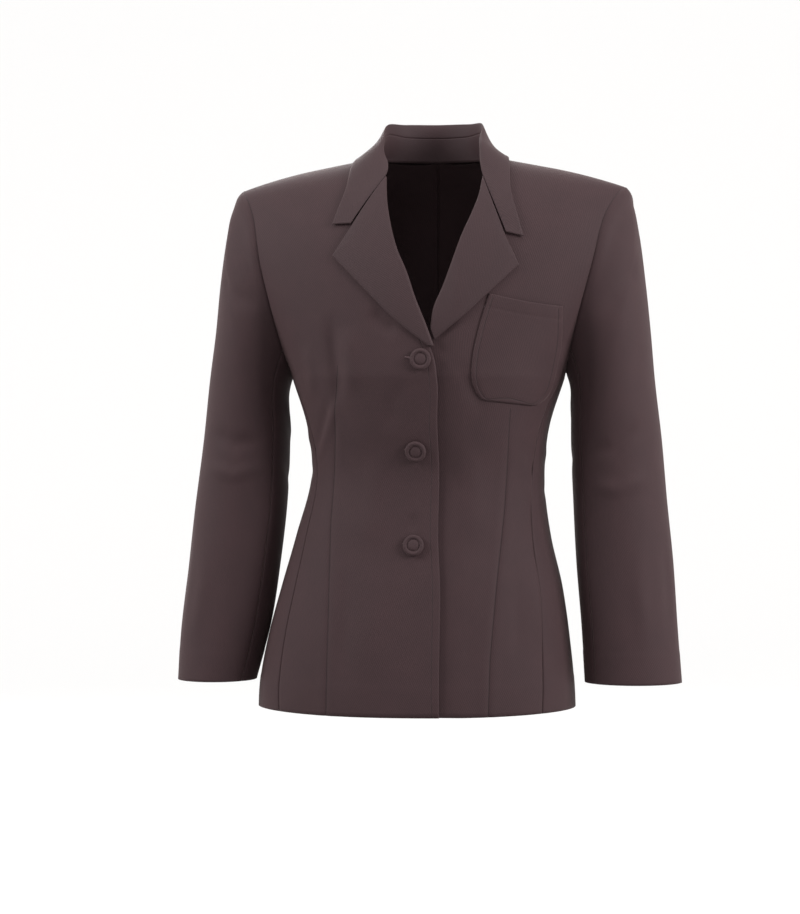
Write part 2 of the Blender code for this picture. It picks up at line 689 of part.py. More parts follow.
def button(name, place, facing, collection):
    """A turned, rimmed disc standing on the right front."""
    mesh = bpy.data.meshes.new(name)
    profile = [(share * BUTTON_RADIUS, 0.0, height) for share, height in BUTTON_PROFILE]
    edges = [(index, index + 1) for index in range(len(profile) - 1)]
    mesh.from_pydata(profile, edges, [])
    mesh.materials.append(material(name, BUTTON_COLOUR))
    obj = bpy.data.objects.new(name, mesh)
    collection.objects.link(obj)
    turn = obj.modifiers.new("Turn", "SCREW")
    turn.steps = BUTTON_STEPS
    turn.render_steps = BUTTON_STEPS
    turn.use_merge_vertices = True
    turn.merge_threshold = 0.00001
    obj.location = place
    obj.rotation_euler = (math.acos(facing[2]), 0.0, math.atan2(facing[1], facing[0]) + math.pi / 2)
    return obj


def main():
    collection = coat_collection()
    right_front = front_panel(RIGHT_EDGE, RIGHT_ROLL, -1.0, FOLD_GAP_RIGHT, RIGHT_FRONT_COLUMNS)
    left_front = front_panel(LEFT_EDGE, LEFT_ROLL, 1.0, FOLD_GAP_LEFT, LEFT_FRONT_COLUMNS)
    cloth_panel("front_right", right_front, collection)
    cloth_panel("front_left", left_front, collection)
    for name, side in (("right", -1.0), ("left", 1.0)):
        cloth_panel(f"side_{name}", as_side(side_panel(), side), collection)
        cloth_panel(f"back_{name}", as_side(back_panel(BACK_COLUMNS), side), collection)
    for name, side, table in (("right", -1.0, RIGHT_SLEEVE), ("left", 1.0, LEFT_SLEEVE)):
        top = sleeve_panel(table, side, BACK_ARM_STEPS - TOP_STEPS, INSEAM_STEPS)
        under = sleeve_panel(table, side, INSEAM_STEPS, BACK_ARM_STEPS)
        cloth_panel(f"top_sleeve_{name}", top, collection)
        cloth_panel(f"under_sleeve_{name}", under, collection)
    cloth_panel("lapel_right", lapel(RIGHT_ROLL, RIGHT_LAPEL_EDGE, RIGHT_NOTCH, -1.0), collection)
    cloth_panel("lapel_left", lapel(LEFT_ROLL, LEFT_LAPEL_EDGE, LEFT_NOTCH, 1.0), collection)
    lines = collar_lines()
    cloth_panel("collar_leaf", collar_leaf(lines), collection)
    cloth_panel("collar_stand", collar_stand(lines), collection)
    cloth_panel("breast_pocket", pocket_panel(left_front), collection)
    x, z = np.array(BUTTONS).T
    outward = front_surface(x, z, 1.0) - front_surface(x, z, 0.0)
    places = seat(right_front, x, z, LAY_GAP)
    for index, (place, facing) in enumerate(zip(places, outward, strict=True), 1):
        button(f"button_{index}", place, facing, collection)


main()
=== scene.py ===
"""Looks of a single breasted blazer in its worn, hollow shape: panels, collar, lapels and buttons."""

import logging
import math
from collections.abc import Sequence
from dataclasses import dataclass
from enum import Enum

import bpy
import numpy as np
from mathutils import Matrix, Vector
from mathutils.bvhtree import BVHTree


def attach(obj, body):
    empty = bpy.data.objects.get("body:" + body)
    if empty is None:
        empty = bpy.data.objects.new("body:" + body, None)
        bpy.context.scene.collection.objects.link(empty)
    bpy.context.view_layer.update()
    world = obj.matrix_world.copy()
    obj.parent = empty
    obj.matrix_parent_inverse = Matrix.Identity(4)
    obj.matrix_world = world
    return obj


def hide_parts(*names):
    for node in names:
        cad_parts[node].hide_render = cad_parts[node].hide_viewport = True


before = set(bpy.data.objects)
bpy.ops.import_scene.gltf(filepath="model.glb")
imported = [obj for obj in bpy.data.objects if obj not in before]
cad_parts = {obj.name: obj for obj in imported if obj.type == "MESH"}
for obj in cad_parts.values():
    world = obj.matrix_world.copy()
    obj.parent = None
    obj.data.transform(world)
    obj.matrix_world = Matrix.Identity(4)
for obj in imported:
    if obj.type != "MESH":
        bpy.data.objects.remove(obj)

LOG = logging.getLogger("blazer")
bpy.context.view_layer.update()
BODY = "root"

Array = np.ndarray
Point2 = tuple[float, float]
Point3 = tuple[float, float, float]

MM = 0.001
THIN = 1.2 * MM
TURN_STEP = math.radians(10.0)
ARMHOLE_TOP_STEP = 36
FRONT_SEAM_STEP = 15
BACK_SEAM_STEP = 23
INSEAM_STEP = 14
BACK_ARM_STEP = 24
NEARLY_ZERO = 1e-7
FAR_MM = 99.0
STITCH_IN_MM = 3.0

# The torso's level sections: height, centre, half width, front depth, back depth.
TORSO_COLUMNS = ("height", "centre", "half_width", "front_depth", "back_depth")
TORSO_SECTIONS = (
    (-0.640, -0.0190, 0.1780, 0.113, 0.119),
    (-0.582, -0.0190, 0.1758, 0.113, 0.119),
    (-0.529, -0.0168, 0.1680, 0.110, 0.117),
    (-0.475, -0.0134, 0.1568, 0.104, 0.110),
    (-0.421, -0.0118, 0.1428, 0.096, 0.100),
    (-0.347, -0.0064, 0.1302, 0.093, 0.089),
    (-0.300, -0.0062, 0.1350, 0.105, 0.093),
    (-0.245, -0.0060, 0.1520, 0.118, 0.100),
)
YOKE = ((0.0, 0.152), (0.04, 0.161), (0.12, 0.178), (0.33, 0.213), (0.6, 0.229), (1.0, 0.235))

# Front edges and break lines in the front view, as x and z.
RIGHT_EDGE = ((0.0162, -0.611), (0.0168, -0.500), (0.0137, -0.420), (0.0137, -0.300), (0.0134, -0.236))
LEFT_EDGE = ((-0.040, -0.611), (-0.036, -0.500), (-0.036, -0.420), (-0.034, -0.300), (-0.030, -0.236))
RIGHT_ROLL = (
    (0.0112, -0.2130),
    (0.0035, -0.1920),
    (-0.0096, -0.1596),
    (-0.0186, -0.1334),
    (-0.0301, -0.1070),
    (-0.0377, -0.0802),
    (-0.0425, -0.0560),
    (-0.0455, -0.0269),
)
LEFT_ROLL = (
    (0.0068, -0.1930),
    (0.0100, -0.1726),
    (0.0205, -0.1467),
    (0.0297, -0.1206),
    (0.0388, -0.0942),
    (0.0498, -0.0673),
    (0.0560, -0.0490),
    (0.0590, -0.0276),
)
RIGHT_LAPEL_EDGE = ((0.0052, -0.2135), (-0.0376, -0.1790), (-0.0587, -0.1575), (-0.1009, -0.1150))
LEFT_LAPEL_EDGE = ((0.0115, -0.2065), (0.0422, -0.1812), (0.0697, -0.1552), (0.1008, -0.1255))
RIGHT_NOTCH = (-0.0800, -0.0815)
LEFT_NOTCH = (0.0850, -0.0920)
RIGHT_TIP = (-0.1023, -0.0800)
LEFT_TIP = (0.1052, -0.0945)

# Collar cross-sections from the nape forward: neck seam, fold's inner edge, two handles, outer edge.
COLLAR_BACK = (
    (
        (0.0000, 0.0520, 0.0052),
        (0.0000, 0.0515, 0.0300),
        (0.0000, 0.0490, 0.0620),
        (0.0000, 0.0630, 0.0450),
        (0.0000, 0.0710, -0.0060),
    ),
    (
        (0.0460, 0.0370, 0.0050),
        (0.0330, 0.0400, 0.0300),
        (0.0310, 0.0385, 0.0620),
        (0.0400, 0.0500, 0.0400),
        (0.0500, 0.0590, -0.0025),
    ),
    (
        (0.0672, 0.0060, 0.0032),
        (0.0530, 0.0080, 0.0290),
        (0.0520, 0.0080, 0.0640),
        (0.0580, 0.0080, 0.0090),
        (0.0800, 0.0080, 0.0038),
    ),
    (
        (0.0645, -0.0290, -0.0015),
        (0.0535, -0.0270, 0.0100),
        (0.0505, -0.0290, 0.0280),
        (0.0600, -0.0310, 0.0140),
        (0.0868, -0.0310, -0.0040),
    ),
)

# Sleeves: height, outer x, inner x, half depth and centre y.
SLEEVE_COLUMNS = ("height", "outer", "inner", "half_depth", "centre_y")
RIGHT_SLEEVE = (
    (-0.582, -0.2886, -0.2010, 0.052, -0.004),
    (-0.520, -0.2858, -0.1850, 0.054, 0.000),
    (-0.448, -0.2786, -0.1745, 0.057, 0.005),
    (-0.381, -0.2704, -0.1675, 0.060, 0.008),
    (-0.314, -0.2614, -0.1648, 0.063, 0.008),
    (-0.246, -0.2536, -0.1665, 0.066, 0.006),
    (-0.193, -0.2462, -0.1665, 0.068, 0.004),
    (-0.139, -0.2408, -0.1650, 0.069, 0.004),
    (-0.085, -0.2330, -0.1650, 0.069, 0.004),
    (-0.056, -0.2272, -0.1650, 0.068, 0.004),
    (-0.031, -0.2165, -0.1650, 0.066, 0.004),
)
LEFT_SLEEVE = (
    (-0.582, 0.2762, 0.1690, 0.052, -0.004),
    (-0.520, 0.2716, 0.1650, 0.054, 0.000),
    (-0.448, 0.2668, 0.1590, 0.057, 0.005),
    (-0.381, 0.2600, 0.1555, 0.060, 0.008),
    (-0.314, 0.2542, 0.1530, 0.063, 0.008),
    (-0.246, 0.2464, 0.1540, 0.066, 0.006),
    (-0.193, 0.2419, 0.1550, 0.068, 0.004),
    (-0.139, 0.2363, 0.1560, 0.069, 0.004),
    (-0.085, 0.2292, 0.1570, 0.069, 0.004),
    (-0.056, 0.2235, 0.1580, 0.068, 0.004),
    (-0.031, 0.2150, 0.1580, 0.066, 0.004),
)

# Patch pocket: left x, left z, right x, right z, from the mouth down.
POCKET_COLUMNS = ("left_x", "left_z", "right_x", "right_z")
POCKET_SIDES = (
    (0.0695, -0.1568, 0.1470, -0.1690),
    (0.0592, -0.1925, 0.1450, -0.2080),
    (0.0518, -0.2280, 0.1385, -0.2400),
    (0.0500, -0.2700, 0.1285, -0.2780),
)

BUTTON_PLACES = ((-0.0032, -0.2275), (-0.0105, -0.3262), (-0.0130, -0.4284))
# The top buttonhole reaches out past its button, and the lower two end under theirs.
BUTTONHOLE_LENGTHS = (22 * MM, 17 * MM, 17 * MM)

# Sewn lines on the fronts, in the front view.
RIGHT_DART = (
    (-0.0957, -0.2309),
    (-0.0988, -0.2728),
    (-0.1000, -0.2977),
    (-0.1062, -0.4016),
    (-0.1064, -0.5151),
    (-0.1077, -0.6150),
)
LEFT_DART = (
    (0.0920, -0.2775),
    (0.0893, -0.3098),
    (0.0836, -0.3946),
    (0.0770, -0.4668),
    (0.0703, -0.5503),
    (0.0683, -0.6150),
)


class Side(Enum):
    """The wearer's two sides, each with the sign of its x."""

    RIGHT = -1.0
    LEFT = 1.0

    @property
    def word(self) -> str:
        """The side's name as piece names use it."""
        return self.name.lower()


class Border(Enum):
    """The four borders of a grid of points: its first and last column, its first and last row."""

    FIRST_COLUMN = (1, False)
    LAST_COLUMN = (1, True)
    BOTTOM = (0, False)
    TOP = (0, True)


# --- Numbers and curves ------------------------------------------------------------------------


def smooth(places: Sequence[float] | Array, values: Sequence[float] | Array, at: Array) -> Array:
    """Reads a smooth curve through a table's values.

    Between two places the curve is the cubic that meets both values, with the slope at each place the
    mean of the slopes beside it, weighted by the other step's length.

    Args:
        places: where the values are, in rising order.
        values: the table's values.
        at: where the curve is read.

    Returns:
        The curve's value at each place asked for.
    """
    places = np.asarray(places, float)
    values = np.asarray(values, float)
    steps = np.diff(places)
    slopes = np.diff(values) / steps
    tangents = np.empty_like(values)
    tangents[1:-1] = (slopes[:-1] * steps[1:] + slopes[1:] * steps[:-1]) / (steps[1:] + steps[:-1])
    tangents[0] = slopes[0]
    tangents[-1] = slopes[-1]
    index = np.clip(np.searchsorted(places, at) - 1, 0, len(steps) - 1)
    share = (at - places[index]) / steps[index]
    start = values[index] * (2 * share**3 - 3 * share**2 + 1)
    end = values[index + 1] * (3 * share**2 - 2 * share**3)
    leave = tangents[index] * steps[index] * (share**3 - 2 * share**2 + share)
    arrive = tangents[index + 1] * steps[index] * (share**3 - share**2)
    return start + end + leave + arrive


def column(table: Sequence[Sequence[float]], names: Sequence[str], name: str) -> Array:
    """One named column of a table of numbers."""
    return np.array([row[names.index(name)] for row in table], float)


def smoothstep(value: Array | float) -> Array:
    """Eases from 0 to 1 with level ends: three squares less two cubes of the clipped value."""
    value = np.clip(value, 0.0, 1.0)
    return value * value * (3 - 2 * value)


def pair(first: Array | float, second: Array | float) -> Array:
    """Stacks two arrays as the last axis of one."""
    return np.stack(np.broadcast_arrays(np.asarray(first, float), np.asarray(second, float)), -1)


def spaced(points: Sequence[Sequence[float]] | Array, count: int) -> Array:
    """Points at equal steps along a smooth line.

    Args:
        points: the line's own points, in any number of dimensions.
        count: how many points to give back.

    Returns:
        The points, the first and last being the line's ends.
    """
    points = np.asarray(points, float)
    gaps = np.linalg.norm(np.diff(points, axis=0), axis=1)
    run = np.concatenate([[0.0], np.cumsum(gaps)])
    at = np.linspace(0.0, run[-1], count)
    if len(points) == 2:
        return points[0] + (points[1] - points[0]) * (at / run[-1])[:, None]
    return np.stack([smooth(run, points[:, axis], at) for axis in range(points.shape[1])], -1)


def patch(bottom: Array, top: Array, left: Array, right: Array) -> Array:
    """A Coons patch: the two ruled surfaces between opposite borders, less the one through the corners.

    Args:
        bottom: the first row.
        top: the last row.
        left: the first column.
        right: the last column.

    Returns:
        A grid whose rows run up and whose columns run across.
    """
    up = np.linspace(0.0, 1.0, len(left))[:, None, None]
    over = np.linspace(0.0, 1.0, len(bottom))[None, :, None]
    ruled_up = (1 - up) * bottom[None] + up * top[None]
    ruled_over = (1 - over) * left[:, None] + over * right[:, None]
    low = (1 - over) * bottom[0] + over * bottom[-1]
    high = (1 - over) * top[0] + over * top[-1]
    return ruled_up + ruled_over - (1 - up) * low - up * high


def normals_of(grid: Array) -> Array:
    """Unit normals of a grid: its slope across crossed with its slope up."""
    normal = np.cross(np.gradient(grid, axis=1), np.gradient(grid, axis=0))
    return normal / np.maximum(np.linalg.norm(normal, axis=-1, keepdims=True), NEARLY_ZERO)


def run_along(grid: Array, axis: int) -> Array:
    """The length of cloth from the grid's first row or column to each of its points."""
    steps = np.linalg.norm(np.diff(grid, axis=axis), axis=-1)
    start = np.zeros_like(np.take(steps, [0], axis=axis))
    return np.concatenate([start, np.cumsum(steps, axis=axis)], axis=axis)


def border_distance(grid: Array, border: Border) -> Array:
    """The length of cloth from each point to one border, along its own row or column."""
    axis, last = border.value
    run = run_along(grid, axis)
    return np.take(run, [-1], axis=axis) - run if last else run


def bell(distance: Array, reach: float) -> Array:
    """A bell curve of the distance, 1 at the line and about a third of that at its reach."""
    return np.exp(-((distance / reach) ** 2))


def line_distance(line: Sequence[Point2], first: Array, second: Array) -> tuple[Array, Array]:
    """The signed distance of points from a line of straight runs in a plane.

    Args:
        line: the line's points.
        first: the points' first coordinate.
        second: the points' second coordinate.

    Returns:
        The distance, positive on the side of the rising first coordinate, and the share of the way
        along the line of the nearest place on it.
    """
    knots = np.asarray(line, float)
    total = np.linalg.norm(np.diff(knots, axis=0), axis=1).sum()
    nearest = np.full(np.shape(first), 1e9)
    share = np.zeros(np.shape(first))
    done = 0.0
    for start, end in zip(knots[:-1], knots[1:], strict=True):
        run = end - start
        length = float(np.linalg.norm(run))
        along = ((first - start[0]) * run[0] + (second - start[1]) * run[1]) / length**2
        held = np.clip(along, 0.0, 1.0)
        away = np.hypot(first - start[0] - held * run[0], second - start[1] - held * run[1])
        side = np.sign((second - start[1]) * run[0] - (first - start[0]) * run[1])
        side = np.where(side == 0, 1.0, side)
        closer = away < np.abs(nearest)
        nearest = np.where(closer, away * side, nearest)
        share = np.where(closer, (done + held * length) / total, share)
        done += length
    return nearest, share


@dataclass(frozen=True)
class Crease:
    """A soft trough or ridge of cloth, laid along a line.

    Its height falls off from the line as a bell and fades towards both of its ends.
    """

    line: tuple[Point2, ...]
    width: float
    height: float
    fade: float = 0.35

    def lift(self, first: Array, second: Array) -> Array:
        """How far the cloth stands out at points of the line's plane."""
        distance, share = line_distance(self.line, first, second)
        ends = smoothstep(share / self.fade) * smoothstep((1 - share) / self.fade)
        inside = np.where((share > 0) & (share < 1), 1.0, 0.0)
        return self.height * bell(distance, self.width) * ends * inside


def lifted(creases: Sequence[Crease], first: Array, second: Array) -> Array:
    """All the creases' lifts added up at points of their plane."""
    total = np.zeros(np.shape(first))
    for crease in creases:
        total = total + crease.lift(first, second)
    return total


# --- The worn form --------------------------------------------------------------------------------


@dataclass(frozen=True)
class Torso:
    """The body of the coat: level superellipse sections, spread upwards to padded shoulders."""

    hem_z: float = -0.6138
    side_hem_rise: float = 0.0040
    bust_z: float = -0.245
    section_power: float = 2.3
    ridge_y: float = 0.006
    ridge_top: float = 0.0147
    ridge_slope: float = 0.19
    pad_drop: float = 0.9
    pad_start: float = 0.13
    front_powers: Point2 = (0.85, 0.85)
    back_powers: Point2 = (0.75, 0.60)
    side_blend: Point2 = (math.radians(60.0), math.radians(120.0))
    armhole_z: float = -0.1357
    armhole_front_depth: float = 0.068
    armhole_back_depth: float = 0.053
    armhole_height: float = 0.1033
    neck_point_x: float = 0.070
    nape_y: float = 0.0545
    lap_drop: float = 0.0040
    lap_ramp: float = 0.028
    slope_step: float = 0.0005

    def size(self, name: str, height: Array) -> Array:
        """One of the section table's sizes at a height."""
        heights = column(TORSO_SECTIONS, TORSO_COLUMNS, "height")
        return smooth(heights, column(TORSO_SECTIONS, TORSO_COLUMNS, name), height)

    def yoke_width(self, share: Array) -> Array:
        """The half width above the bust, by the share of the way up."""
        return smooth([row[0] for row in YOKE], [row[1] for row in YOKE], share)

    def shoulder_height(self, side: Array) -> Array:
        """The shoulder ridge's height: a straight slope, with a square drop past the pad's start."""
        past_pad = np.maximum(side - self.pad_start, 0)
        return self.ridge_top - self.ridge_slope * side - self.pad_drop * past_pad**2

    def powers(self, angle: Array) -> tuple[Array, Array]:
        """The powers of the yoke's profile, blended from the front's to the back's across the side."""
        start, end = self.side_blend
        back = smoothstep((np.abs(angle) - start) / (end - start))
        rise, reach = (
            front + (rear - front) * back
            for front, rear in zip(self.front_powers, self.back_powers, strict=True)
        )
        return rise, reach

    def point(self, angle: Array, level: Array) -> Array:
        """Points of the outer surface.

        A level section is a superellipse: the sine and cosine of the angle to the power of two over the
        section power, times the half width and the depth. Above the bust, the height follows a power
        of the sine of the level and the depth a power of its cosine, up to the shoulder's ridge.

        Args:
            angle: 0 at the front's centre, growing past the left side to pi at the back's centre.
            level: -1 under the hem, 0 at the bust, 1 on the shoulder's ridge.

        Returns:
            Points as x, y and z in the last axis.
        """
        angle, level = np.broadcast_arrays(np.asarray(angle, float), np.asarray(level, float))
        sine = np.sin(angle)
        cosine = np.cos(angle)
        across = np.sign(sine) * np.abs(sine) ** (2 / self.section_power)
        through = np.abs(cosine) ** (2 / self.section_power)
        height = self.bust_z + np.minimum(level, 0.0) * (self.bust_z - TORSO_SECTIONS[0][0])
        share = np.maximum(level, 0.0)
        width = np.where(level > 0, self.yoke_width(share), self.size("half_width", height))
        side = width * across
        front = -self.size("front_depth", height)
        depth = np.where(cosine > 0, front, self.size("back_depth", height)) * through
        rise_power, reach_power = self.powers(angle)
        rise = np.sin(share * math.pi / 2) ** rise_power
        reach = np.maximum(np.cos(share * math.pi / 2), 0.0) ** reach_power
        top = self.shoulder_height(np.abs(side))
        z = np.where(level > 0, self.bust_z + (top - self.bust_z) * rise, height)
        y = np.where(level > 0, self.ridge_y + (depth - self.ridge_y) * reach, depth)
        return np.stack([side + self.size("centre", height) * (1 - share), y, z], -1)

    def level_at(self, side: Array, height: Array, rise_power: Array | float) -> Array:
        """The level that reaches a height, at a distance from the centre plane."""
        above = height - self.bust_z
        rise = np.clip(above / (self.shoulder_height(np.abs(side)) - self.bust_z), 0.0, 1.0)
        share = np.arcsin(rise ** (1 / rise_power)) * 2 / math.pi
        return np.where(height > self.bust_z, share, above / (self.bust_z - TORSO_SECTIONS[0][0]))

    def on_front(self, x: Array, z: Array, rounds: int = 12) -> tuple[Array, Array]:
        """The angle and level of the front's point seen at x and z, found by repeated substitution."""
        x = np.asarray(x, float)
        z = np.asarray(z, float)
        side = x
        for _ in range(rounds):
            level = self.level_at(side, z, self.front_powers[0])
            share = np.maximum(level, 0.0)
            lower = np.minimum(z, self.bust_z)
            width = np.where(level > 0, self.yoke_width(share), self.size("half_width", lower))
            side = x - self.size("centre", lower) * (1 - share)
        across = np.clip(side / width, -0.9999, 0.9999)
        return np.arcsin(np.sign(across) * np.abs(across) ** (self.section_power / 2)), level

    def on_armhole(self, turn: Array, halvings: int = 50, rounds: int = 12) -> tuple[Array, Array]:
        """The angle and level of the left armhole's points, found by halving.

        Seen from the side the armhole is an ellipse with a deeper front than back. At a point's height
        the torso's depth grows steadily with the angle.

        Args:
            turn: 0 at the armhole's top, a quarter turn at its front.
            halvings: how often the angle's range is halved.
            rounds: how often the level is improved at each angle.

        Returns:
            The angles and levels.
        """
        turn = np.asarray(turn, float)
        back = np.sin(turn) < 0
        depths = np.where(back, self.armhole_back_depth, self.armhole_front_depth)
        y = self.ridge_y - depths * np.sin(turn)
        z = self.armhole_z + self.armhole_height * np.cos(turn)
        low = np.where(back, 1.0, 0.0)
        high = np.where(back, math.pi, 2.0)
        for _ in range(halvings):
            angle = 0.5 * (low + high)
            level = np.full_like(angle, 0.3)
            for _ in range(rounds):
                side = self.yoke_width(level) * np.sin(angle) ** (2 / self.section_power)
                level = self.level_at(side, z, self.powers(angle)[0])
            depth = self.point(angle, level)[..., 1]
            beyond = np.where(back, depth > y + NEARLY_ZERO, depth > y - NEARLY_ZERO)
            high = np.where(beyond, angle, high)
            low = np.where(beyond, low, angle)
        return angle, level

    def front_surface(self, x: Array, z: Array, lift: Array | float) -> Array:
        """Points over the front at x and z, moved out along the surface's own normal by the lift."""
        point = self.point(*self.on_front(x, z))
        beside = self.point(*self.on_front(x + self.slope_step, z))
        above = self.point(*self.on_front(x, z + self.slope_step))
        normal = np.cross(beside - point, above - point)
        normal /= np.linalg.norm(normal, axis=-1, keepdims=True)
        return point + normal * np.asarray(lift)[..., None]

    def lap(self, x: Array, z: Array) -> Array:
        """How far the left front lies inside where the right front covers it."""
        edge = np.interp(z, [place[1] for place in RIGHT_EDGE], [place[0] for place in RIGHT_EDGE])
        return self.lap_drop * smoothstep((edge + self.lap_ramp - x) / self.lap_ramp)

    def hem_line(self, first: float, last: float, count: int) -> Array:
        """The hem between two angles, rising at the sides with the square of the sine."""
        angle = np.linspace(first, last, count)
        height = self.hem_z + self.side_hem_rise * np.sin(angle) ** 2
        return pair(angle, (height - self.bust_z) / (self.bust_z - TORSO_SECTIONS[0][0]))

    def side_seam(self, phis: Sequence[float], step: int, count: int) -> Array:
        """A seam from the hem up to the armhole's point at the given turn step."""
        angle, level = self.on_armhole(np.array([step * TURN_STEP]))
        low = self.hem_line(phis[0], phis[0], 2)[0]
        return spaced(pair([*phis, angle[0]], [low[1], -0.35, -0.05, level[0]]), count)

    def armhole_line(self, first: float, last: float, count: int) -> Array:
        """The armhole between two turn steps, as angles and levels."""
        return pair(*self.on_armhole(np.linspace(first, last, count) * TURN_STEP))

    def neckline(self, count: int, rounds: int = 20) -> Array:
        """The back neckline from the shoulder seam to the nape, a quarter ellipse seen from above."""
        turn = np.linspace(0.0, math.pi / 2, count + 1)[1:]
        side = self.neck_point_x * np.cos(turn)
        y = self.ridge_y + (self.nape_y - self.ridge_y) * np.sin(turn)
        level = np.full(count, 0.9)
        for _ in range(rounds):
            across = side / self.yoke_width(level)
            angle = math.pi - np.arcsin(across ** (self.section_power / 2))
            through = np.abs(np.cos(angle)) ** (2 / self.section_power)
            depth = self.size("back_depth", np.array(self.bust_z)) * through
            reach = (y - self.ridge_y) / (depth - self.ridge_y)
            level = np.arccos(reach ** (1 / self.back_powers[1])) * 2 / math.pi
        return pair(angle, level)

    def neck_angle(self) -> float:
        """The angle at which the shoulder's ridge meets the neck."""
        across = self.neck_point_x / self.yoke_width(np.array(1.0))
        return float(np.arcsin(across ** (self.section_power / 2)))


TORSO = Torso()
SIDE_FRONT_PHI = (math.radians(52.0), math.radians(62.0), math.radians(74.0))
SIDE_BACK_PHI = (math.radians(126.0), math.radians(124.0), math.radians(118.0))


# --- Meshes -----------------------------------------------------------------------------------------


@dataclass(frozen=True)
class Cut:
    """The flat size of a sheet before sewing: width, length and area, in metres."""

    width: float
    length: float
    area: float


def mesh_of(name: str, grid: Array, marks: dict[str, Array], wrap: bool = False) -> bpy.types.Mesh:
    """A mesh of a grid of points with a UV map in metres of cloth.

    Args:
        name: the mesh's name.
        grid: points, rows up and columns across.
        marks: further values for each point, by attribute name.
        wrap: whether the last column joins the first.

    Returns:
        The mesh, smooth, its faces looking to the side of the grid's normals.
    """
    rows, columns = grid.shape[:2]
    index = np.arange(rows * columns).reshape(rows, columns)
    if wrap:
        index = np.concatenate([index, index[:, :1]], axis=1)
    corners = (index[:-1, :-1], index[:-1, 1:], index[1:, 1:], index[1:, :-1])
    faces = np.stack([corner.ravel() for corner in corners], -1).astype(np.int32)
    mesh = bpy.data.meshes.new(name)
    mesh.vertices.add(rows * columns)
    mesh.vertices.foreach_set("co", grid.astype(np.float32).ravel())
    mesh.loops.add(faces.size)
    mesh.loops.foreach_set("vertex_index", faces.ravel())
    mesh.polygons.add(len(faces))
    mesh.polygons.foreach_set("loop_start", np.arange(0, faces.size, 4, dtype=np.int32))
    mesh.update(calc_edges=True)
    across = run_along(grid, 1)
    across = across - np.take(across, [columns // 2], axis=1)
    upward = run_along(grid, 0)
    flat = np.stack([across, upward], -1).reshape(-1, 2)
    layer = mesh.uv_layers.new(name="Weave")
    layer.data.foreach_set("uv", flat[faces.ravel()].astype(np.float32).ravel())
    for key, values in marks.items():
        mark = mesh.attributes.new(key, "FLOAT", "POINT")
        spread = np.broadcast_to(values, (rows, columns)).astype(np.float32)
        mark.data.foreach_set("value", spread.ravel())
    mesh.shade_smooth()
    mesh.validate()
    return mesh


def shown(mesh: bpy.types.Mesh, finish: bpy.types.Material) -> bpy.types.Object:
    """Puts a mesh into the scene with its finish, riding on the coat's one body."""
    mesh.materials.append(finish)
    obj = bpy.data.objects.new(mesh.name, mesh)
    bpy.context.scene.collection.objects.link(obj)
    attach(obj, BODY)
    return obj


def cut_of(grid: Array) -> Cut:
    """The flat size that a grid's cloth takes up: its longest row, its longest column and its area."""
    width = float(np.ceil(run_along(grid, 1)[:, -1].max() / MM) * MM)
    length = float(np.ceil(run_along(grid, 0)[-1].max() / MM) * MM)
    one = np.cross(grid[:-1, 1:] - grid[:-1, :-1], grid[1:, :-1] - grid[:-1, :-1])
    two = np.cross(grid[1:, :-1] - grid[1:, 1:], grid[:-1, 1:] - grid[1:, 1:])
    area = 0.5 * float(np.linalg.norm(one, axis=-1).sum() + np.linalg.norm(two, axis=-1).sum())
    return Cut(width, length, min(area, width * length))


def cloth_piece(
    name: str,
    grid: Array,
    finish: bpy.types.Material,
    marks: dict[str, Array] | None = None,
    thickness: float = 1.3 * MM,
) -> bpy.types.Object:
    """A sheet of cloth from its outer surface, thickened inwards.

    Args:
        name: the CAD node that it stands for.
        grid: its outer points, rows up and columns across.
        finish: its material.
        marks: further values for each point.
        thickness: the cloth's thickness.

    Returns:
        The piece.
    """
    values = {"seam_mm": np.full(grid.shape[:2], FAR_MM)}
    values.update(marks or {})
    obj = shown(mesh_of(f"{name}_cloth", grid, values), finish)
    cloth = obj.modifiers.new("Cloth", "SOLIDIFY")
    cloth.thickness = thickness
    cloth.offset = -1.0
    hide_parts(name)
    cut = cut_of(grid)
    sizes = (cut.width, cut.length, cut.area, grid.size // 3)
    LOG.info("%s: cut %.3f x %.3f m, %.4f m2, %d points", name, *sizes)
    return obj


# --- Finishes ---------------------------------------------------------------------------------------


def linear(code: str) -> tuple[float, float, float, float]:
    """Turns an sRGB hex colour to linear red, green, blue and a full alpha."""
    parts = np.array([int(code[at : at + 2], 16) for at in (0, 2, 4)]) / 255
    values = np.where(parts <= 0.04045, parts / 12.92, ((parts + 0.055) / 1.055) ** 2.4)
    return (float(values[0]), float(values[1]), float(values[2]), 1.0)


def add_node(
    tree: bpy.types.NodeTree,
    kind: str,
    settings: dict[str | int, object] | None = None,
    links: dict[str | int, bpy.types.NodeSocket] | None = None,
) -> bpy.types.Node:
    """Adds a node to a material's tree.

    Args:
        tree: the material's node tree.
        kind: Blender's name of the node's type.
        settings: the node's own properties by name, and its sockets' values by name or number.
        links: output sockets to link, by the name or number of the input.

    Returns:
        The node.
    """
    node = tree.nodes.new(kind)
    for key, value in (settings or {}).items():
        if isinstance(key, str) and hasattr(node, key):
            setattr(node, key, value)
        else:
            node.inputs[key].default_value = value
    for key, socket in (links or {}).items():
        tree.links.new(socket, node.inputs[key])
    return node


